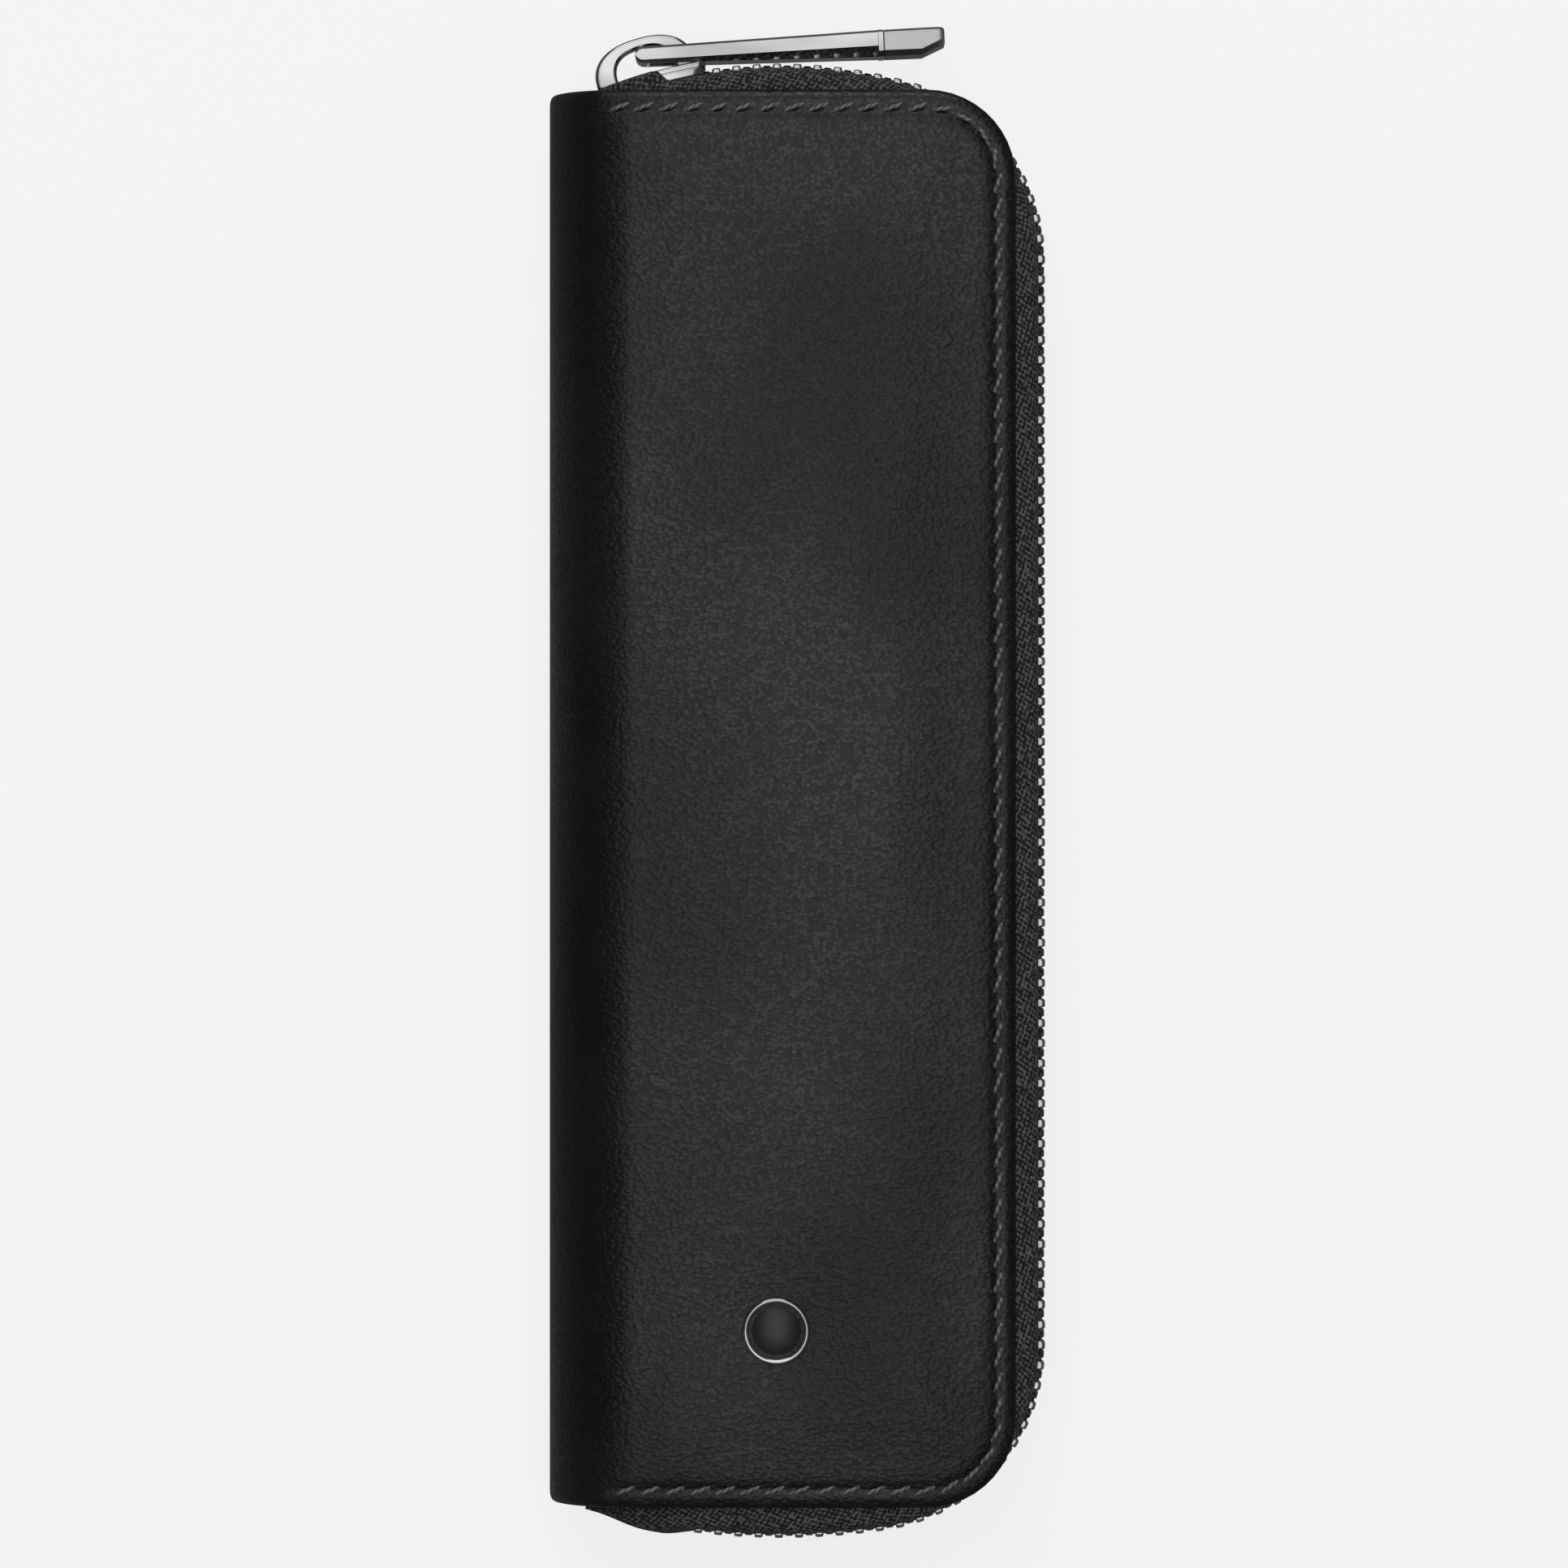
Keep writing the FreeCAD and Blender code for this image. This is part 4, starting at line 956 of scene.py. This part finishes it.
slider_skins = [slider_bar(BAR_RUNS, other_side, plate_side, *rises) for rises in PLATES]
for rises in FLANGES:
    slider_skins.append(slider_bar(FLANGE_RUNS, steady(FLANGE_FACE), plate_side, *rises, FLANGE_EDGE))
    slider_skins.append(slider_bar(FLANGE_RUNS, other_side, steady(-FLANGE_FACE), *rises, FLANGE_EDGE))
slider_skins.append(slider_bar(POST_RUNS, steady(-POST_HALF), steady(POST_HALF), *POST_RISES, POST_EDGE))
slider = join_skins("slider_casting", slider_skins, polished)
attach(slider, "slider")
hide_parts("slider_body")
print("slider:", len(slider.data.polygons), "faces")

# %% [markdown]
# The bail is the arch that holds the pull. It is thick at its feet and thin at its crown, which a bent tube
# can't be, so its outline fills the room between an outer and an inner arch.

# %% Bend the bail
BAIL_HALF = 1.5
BAIL_EDGE = 0.32
BAIL_FOOT = -0.15
BAIL_OUTER = (-5.75, 5.3, 4.3)
BAIL_INNER = (-3.4, 3.1, 3.15)


def bail_arch(turn, left, right, rise, power):
    """A point of a flattened arch over the slider's plate, from its left foot to its right foot."""
    share = math.copysign(abs(math.cos(turn)) ** (2 / power), math.cos(turn))
    run = (left + right) / 2 + share * (right - left) / 2
    return np.array([run, PLATE_TOP + BAIL_FOOT + abs(math.sin(turn)) ** (2 / power) * (rise - BAIL_FOOT)])


bail_rows = []
for turn in np.linspace(math.pi, 0, 41):
    outer = bail_arch(turn, *BAIL_OUTER, 2.5)
    inner = bail_arch(turn, *BAIL_INNER, 2.7)
    thick = np.linalg.norm(outer - inner)
    lean = (outer - inner) / thick
    bail_rows.append(np.array([on_slider(*((outer + inner) / 2 + lean * up), SPINE + sideways)
                               for sideways, up in rounded_outline(BAIL_HALF, thick / 2, BAIL_EDGE)]))
bail = join_skins("bail_arch", [skin(bail_rows)], polished)
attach(bail, "slider")
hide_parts("slider_bail")
print("bail:", len(bail.data.polygons), "faces")

# %% [markdown]
# ## Pull
#
# The pull hangs in the bail by a round bar between two arms. It thickens towards its grip, and its long
# edges are ground to facets: a narrow one above, and one below that widens towards the grip. A boolean
# could cut its eye, but it leaves ragged faces that shade badly. Half of it is skinned in rows across its
# outline instead, and the other half is its mirror image.

# %% Sections across the pull
PULL_LENGTH = 27.2
PULL_HALF = 3.2
PULL_THICK = 1.5
BAR = 0.9
BEVEL = 0.28
FACET_EYE = 0.3
FACET_END = 1.2
HANG_GAP = 0.06
PULL_ANGLE = SLIDER_PARK - math.radians(13.4)
PIVOT = on_slider(0.0, PLATE_TOP + BAIL_INNER[2] - HANG_GAP - BAR, SPINE)


def on_pull(run, up, sideways):
    """A point of the pull: run from its pivot, up from its middle plane, sideways from its centre line."""
    return [PIVOT[0] + run * math.cos(PULL_ANGLE) - up * math.sin(PULL_ANGLE),
            PIVOT[1] + run * math.sin(PULL_ANGLE) + up * math.cos(PULL_ANGLE), PIVOT[2] + sideways]


def pull_section(run):
    """Four corners of the outer side of the pull, from its top face to its underside."""
    share = max(run, 0.0) / PULL_LENGTH
    thick = BAR + (PULL_THICK - BAR) * share
    if run < 0:
        thick = math.sqrt(max(BAR ** 2 - run ** 2, 0.01))
    upper = min(BEVEL, thick * 0.5)
    lower = min(FACET_EYE + (FACET_END - FACET_EYE) * share, thick * 0.8)
    return [(thick, PULL_HALF - upper), (thick - upper, PULL_HALF), (lower - thick, PULL_HALF),
            (-thick, PULL_HALF - lower)]


print("pull hangs at, mm:", [round(value, 2) for value in PIVOT])

# %% Skin one half of the pull
EYE_END = 6.6
EYE_HALF = 2.0


def half_pull():
    """Points and faces of the half of the pull with positive sideways."""
    points, faces = [], []

    def add_row(run, inner):
        section = pull_section(run)
        wall = [(section[0][0], EYE_HALF), (section[3][0], EYE_HALF)]
        line = [wall[0]] + section + [wall[1]]
        if inner:
            line = [(section[0][0], 0.0)] + line + [(section[3][0], 0.0)]
        first = len(points)
        points.extend(on_pull(run, up, sideways) for up, sideways in line)
        return list(range(first, first + len(line)))

    arm_runs = [-0.89, -0.82, -0.65, -0.4, -0.15] + list(np.linspace(0.1, EYE_END, 8))
    arms = [add_row(run, False) for run in arm_runs]
    faces += bands(arms, closed=True) + [arms[0][::-1]]
    tabs = [add_row(run, True) for run in np.linspace(EYE_END, PULL_LENGTH, 12)]
    faces += bands(tabs) + [tabs[-1]]
    faces.append([tabs[0][0], tabs[0][1], tabs[0][-2], tabs[0][-1]])
    return np.array(points), faces


# %% Add the collar and the bar, and grind the edges
COLLAR = 0.6
GRIP_THICK = 1.5
GRIP_HALF = 3.4
GRIP_FACET = 0.6
BAR_SIDES = 32
SHARP = math.radians(30.0)


def faceted_rows(sections):
    """Sections across the pull: (run, top, bottom, half width), bevelled above and faceted below."""
    rows = []
    for run, top, bottom, half_width in sections:
        facet = min(GRIP_FACET, (top - bottom) * 0.4)
        side = [(top, half_width - BEVEL), (top - BEVEL, half_width), (bottom + facet, half_width),
                (bottom, half_width - facet)]
        outline = side + [(up, -sideways) for up, sideways in side[::-1]]
        rows.append(np.array([on_pull(run, up, sideways) for up, sideways in outline]))
    return rows


def pull_skins():
    """Both halves of the tab, its bar and its collar."""
    points, faces = half_pull()
    mirrored = points * [1, 1, -1] + [0, 0, 2 * PIVOT[2]]
    bar_rows = [np.array([on_pull(BAR * math.cos(turn), BAR * math.sin(turn), sideways)
                          for turn in np.linspace(0, 2 * math.pi, BAR_SIDES, endpoint=False)])
                for sideways in (EYE_HALF + 0.1, -EYE_HALF - 0.1)]
    collar = [(run, GRIP_THICK, -GRIP_THICK, GRIP_HALF) for run in (PULL_LENGTH - COLLAR, PULL_LENGTH)]
    mirrored_faces = [face[::-1] for face in faces]
    return [(points, faces), (mirrored, mirrored_faces), skin(bar_rows), skin(faceted_rows(collar))]


def soften(made, width):
    """Weld the seams and round every sharp edge a little, so that it catches the light."""
    weld = made.modifiers.new("weld", "WELD")
    weld.merge_threshold = 0.01 * MM
    edge = made.modifiers.new("edges", "BEVEL")
    edge.width = width * MM
    edge.segments = 2
    edge.limit_method = "ANGLE"
    edge.angle_limit = SHARP
    edge.harden_normals = True


pull = join_skins("pull_tab_ground", pull_skins(), polished)
soften(pull, 0.07)
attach(pull, "pull")
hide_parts("pull_tab")
print("pull:", len(pull.data.polygons), "faces")

# %% [markdown]
# The grip is a satin block pressed on behind the pull's polished collar. Its underside rises towards the
# end, where a thumb lifts it. It takes the same faceted sections as the collar, so the two meet edge to
# edge.

# %% Press on the grip
GRIP_LENGTH = 6.9
GRIP_GAP = 0.03
UNDERCUT = 1.1
UNDERCUT_LENGTH = 2.6
grip_end = PULL_LENGTH + GRIP_LENGTH
grip_sections = [(PULL_LENGTH + 0.04, GRIP_THICK - GRIP_GAP, GRIP_GAP - GRIP_THICK, GRIP_HALF - GRIP_GAP)]
for share in (0.0, 0.25, 0.5, 0.75, 0.9, 0.97, 1.0):
    rounding = 0.35 * (1 - math.sqrt(max(1 - share ** 12, 0.0)))
    grip_sections.append((grip_end - UNDERCUT_LENGTH * (1 - share), GRIP_THICK - rounding,
                          -GRIP_THICK + UNDERCUT * share, GRIP_HALF - rounding))
grip = join_skins("pull_grip_satin", [skin(faceted_rows(grip_sections))], satin)
soften(grip, 0.08)
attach(grip, "pull")
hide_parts("pull_grip")
print("grip:", len(grip.data.polygons), "faces")

# %% [markdown]
# ## Stud
#
# A plain round stud sits near the lower end of the front: a polished rim with a black, slightly domed face
# set in it. Both are turned shapes, so each is a short profile spun round an axis.

# %% Turn the stud
STUD_SIDES = 72


def spin(name, profile, material, stands_for):
    """Spin a profile of (radius, height) round the stud's axis."""
    points, rows = [], []
    for turn in np.linspace(0, 2 * math.pi, STUD_SIDES, endpoint=False):
        rows.append(np.arange(len(points), len(points) + len(profile)))
        points.extend([STUD_X + radius * math.cos(turn), STUD_Y + radius * math.sin(turn), DEPTH + height]
                      for radius, height in profile)
    made = make_piece(name, points, bands(rows + rows[:1]), material)
    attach(made, "front")
    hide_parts(*stands_for)
    print(name, len(points), "points")


RIM_PROFILE = [(3.1, -0.2)] + [(3.45 - 0.35 * math.cos(turn), 0.62 + 0.36 * math.sin(turn))
                               for turn in np.linspace(0, math.pi, 13)] + [(3.8, -0.9)]
FACE_PROFILE = [(0.01, 0.64), (0.6, 0.62), (1.2, 0.56), (1.8, 0.46), (2.4, 0.32), (2.8, 0.2), (3.09, 0.1),
                (3.09, -0.3)]
spin("stud_rim_polished", RIM_PROFILE, polished, ["stud_rim"])
spin("stud_face_black", FACE_PROFILE, stud_black, ["stud_disc"])

# %% [markdown]
# ## Pen loops
#
# Inside, two elastic bands stand on a leather patch that is sewn to the back lining. A band is a flat strip
# bent to an arch, and its edges are rounded like any folded elastic. A strip with a thickness modifier
# would have square edges, so one rounded outline is carried up a leg, over the arch and down again.

# %% Bend the loops
LOOP_X = (-5.45, 11.15)
LOOP_LOW = 20.0
LOOP_HIGH = 44.0
LOOP_MIDDLE = (LOOP_LOW + LOOP_HIGH) / 2
LOOP_BORE = 6.0
LOOP_BAND = 0.8
LOOP_BASE = 3.4
LOOP_TOP = 16.75


def loop_mesh(centre):
    """One band over its pen, with flat coordinates along and across the elastic."""
    spring = LOOP_TOP - LOOP_BAND - LOOP_BORE
    legs = np.linspace(LOOP_BASE + 0.02, spring, 8)
    path = [(-1.0, 0.0, level) for level in legs[:-1]]
    path += [(-math.cos(turn), math.sin(turn), spring) for turn in np.linspace(0, math.pi, 25)]
    path += [(1.0, 0.0, level) for level in legs[-2::-1]]
    points, flat, rows = [], [], []
    half = (LOOP_HIGH - LOOP_LOW) / 2
    for step, (side, up, level) in enumerate(path):
        outline = rounded_outline(half, LOOP_BAND / 2, 0.35)
        rows.append(np.arange(len(points), len(points) + len(outline)))
        for along, outward in outline:
            reach = LOOP_BORE + LOOP_BAND / 2 + outward
            points.append([centre + side * reach, LOOP_MIDDLE + along, level + up * reach])
            flat.append((step * 0.8, along))
    return points, bands(rows, closed=True) + [list(rows[0][::-1]), list(rows[-1])], flat


for side, centre in zip(("left", "right"), LOOP_X):
    points, faces, flat = loop_mesh(centre)
    loop = make_piece(f"loop_{side}", points, faces, elastic, flat)
    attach(loop, "back")
    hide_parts(f"pen_loop_{side}")
    print(loop.name, len(points), "points")

# %% [markdown]
# The patch is a small plate of the same leather. Its cut edge is rounded over, so it is a few outlines
# stacked from the lining up.

# %% Cut the patch
PATCH_X = 2.85
PATCH_HALF = (17.1, 14.0)
PATCH_CORNER = 2.0
PATCH_EDGE = ((0.4, LINING_FACE), (0.12, 2.85), (0.0, 3.05), (0.06, 3.22), (0.25, 3.34), (0.6, LOOP_BASE))
patch_rows = []
patch_flat = []
for inset, level in PATCH_EDGE:
    outline = rounded_outline(PATCH_HALF[0] - inset, PATCH_HALF[1] - inset, PATCH_CORNER, 6)
    patch_rows.append(np.array([[PATCH_X + x, LOOP_MIDDLE + y, level] for x, y in outline]))
    patch_flat.extend([PATCH_X + x, y] for x, y in outline)
patch = make_piece("loop_patch_leather", *skin(patch_rows), leather, patch_flat)
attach(patch, "back")
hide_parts("pen_loop_patch")
print(patch.name, len(patch.data.vertices), "points")

# %% [markdown]
# ## Finishes on the hidden pieces
#
# The boards, the stiffeners and the washer are hard, plain pieces out of sight. They could be built again,
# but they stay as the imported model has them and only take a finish.

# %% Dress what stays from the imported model
STAYING = {
    board: ["back_cover_board", "front_cover_board", "spine_back_stiffener", "spine_front_stiffener"],
    satin: ["stud_washer"],
}
for material, names in STAYING.items():
    for name in names:
        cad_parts[name].data.materials.clear()
        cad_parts[name].data.materials.append(material)
print("staying pieces:", sum(len(names) for names in STAYING.values()))

# %% [markdown]
# ## Floor, light and camera
#
# The photograph looks straight down on the case against an even pale ground. One broad soft light hangs
# straight above, and a strip light stands beyond the slider end, so the upper rim is bright and the lower
# rim dark. The floor adds light of its own for the camera, which keeps it pale while the shadow stays soft.

# %% Lay the floor
FLOOR_HALF = 3000.0
floor_points = [[x * FLOOR_HALF, y * FLOOR_HALF, 0.0] for x, y in ((-1, -1), (1, -1), (1, 1), (-1, 1))]


def floor_recipe(sheet, room):
    rays = [room.node("ShaderNodeLightPath", {}, {}, output=kind)
            for kind in ("Is Camera Ray", "Is Glossy Ray", "Is Transmission Ray")]
    seen = rays[0] + 0.06 * rays[1] + 0.06 * rays[2]
    return {"Emission Color": seen.mix(grey(0.0), grey(0.80))}


floor_finish = finish("pale_floor", {"Base Color": grey(0.26), "Roughness": 0.9, "Specular IOR Level": 0.0,
                                     "Emission Strength": 1.0}, floor_recipe)
floor = make_piece("floor", floor_points, [(0, 1, 2, 3)], floor_finish)

# %% Hang the lights
def soft_light(name, place, target, wide, high, power):
    """An area lamp that faces a target, with sizes in metres."""
    lamp = bpy.data.lights.new(name, "AREA")
    lamp.shape = "RECTANGLE"
    lamp.size = wide
    lamp.size_y = high
    lamp.energy = power
    hung = bpy.data.objects.new(name, lamp)
    bpy.context.collection.objects.link(hung)
    hung.location = place
    aim = Vector(target) - Vector(place)
    hung.rotation_euler = aim.to_track_quat("-Z", "Y").to_euler()
    print("light:", name, power, "W")


soft_light("overhead_box", (0.0, 0.02, 1.25), (0.0, 0.0, 0.0), 0.72, 1.15, 3.6)
soft_light("rim_strip", (-0.1, 1.05, 0.85), (0.0, 0.05, 0.01), 0.9, 0.45, 3.4)
world = bpy.data.worlds.new("room")
bpy.context.scene.world = world
world.use_nodes = True
world.node_tree.nodes["Background"].inputs["Color"].default_value = grey(0.5)
world.node_tree.nodes["Background"].inputs["Strength"].default_value = 0.2

# %% [markdown]
# The camera stands far off with a long lens, because the photograph shows hardly any perspective. The width
# of the view at the front cover sets the lens.

# %% Place the camera
VIEW_WIDTH = 175.6
VIEW_DISTANCE = 900.0
VIEW_CENTRE = (0.27, 1.64)
SENSOR = 36.0
lens = bpy.data.cameras.new("camera")
lens.sensor_width = SENSOR
lens.lens = SENSOR * VIEW_DISTANCE / VIEW_WIDTH
lens.clip_start = 0.05
camera = bpy.data.objects.new("camera", lens)
bpy.context.collection.objects.link(camera)
camera.location = (VIEW_CENTRE[0] * MM, VIEW_CENTRE[1] * MM, (DEPTH + VIEW_DISTANCE) * MM)
bpy.context.scene.camera = camera
bpy.context.scene.view_settings.view_transform = "Standard"
print("lens, mm:", round(lens.lens, 1))
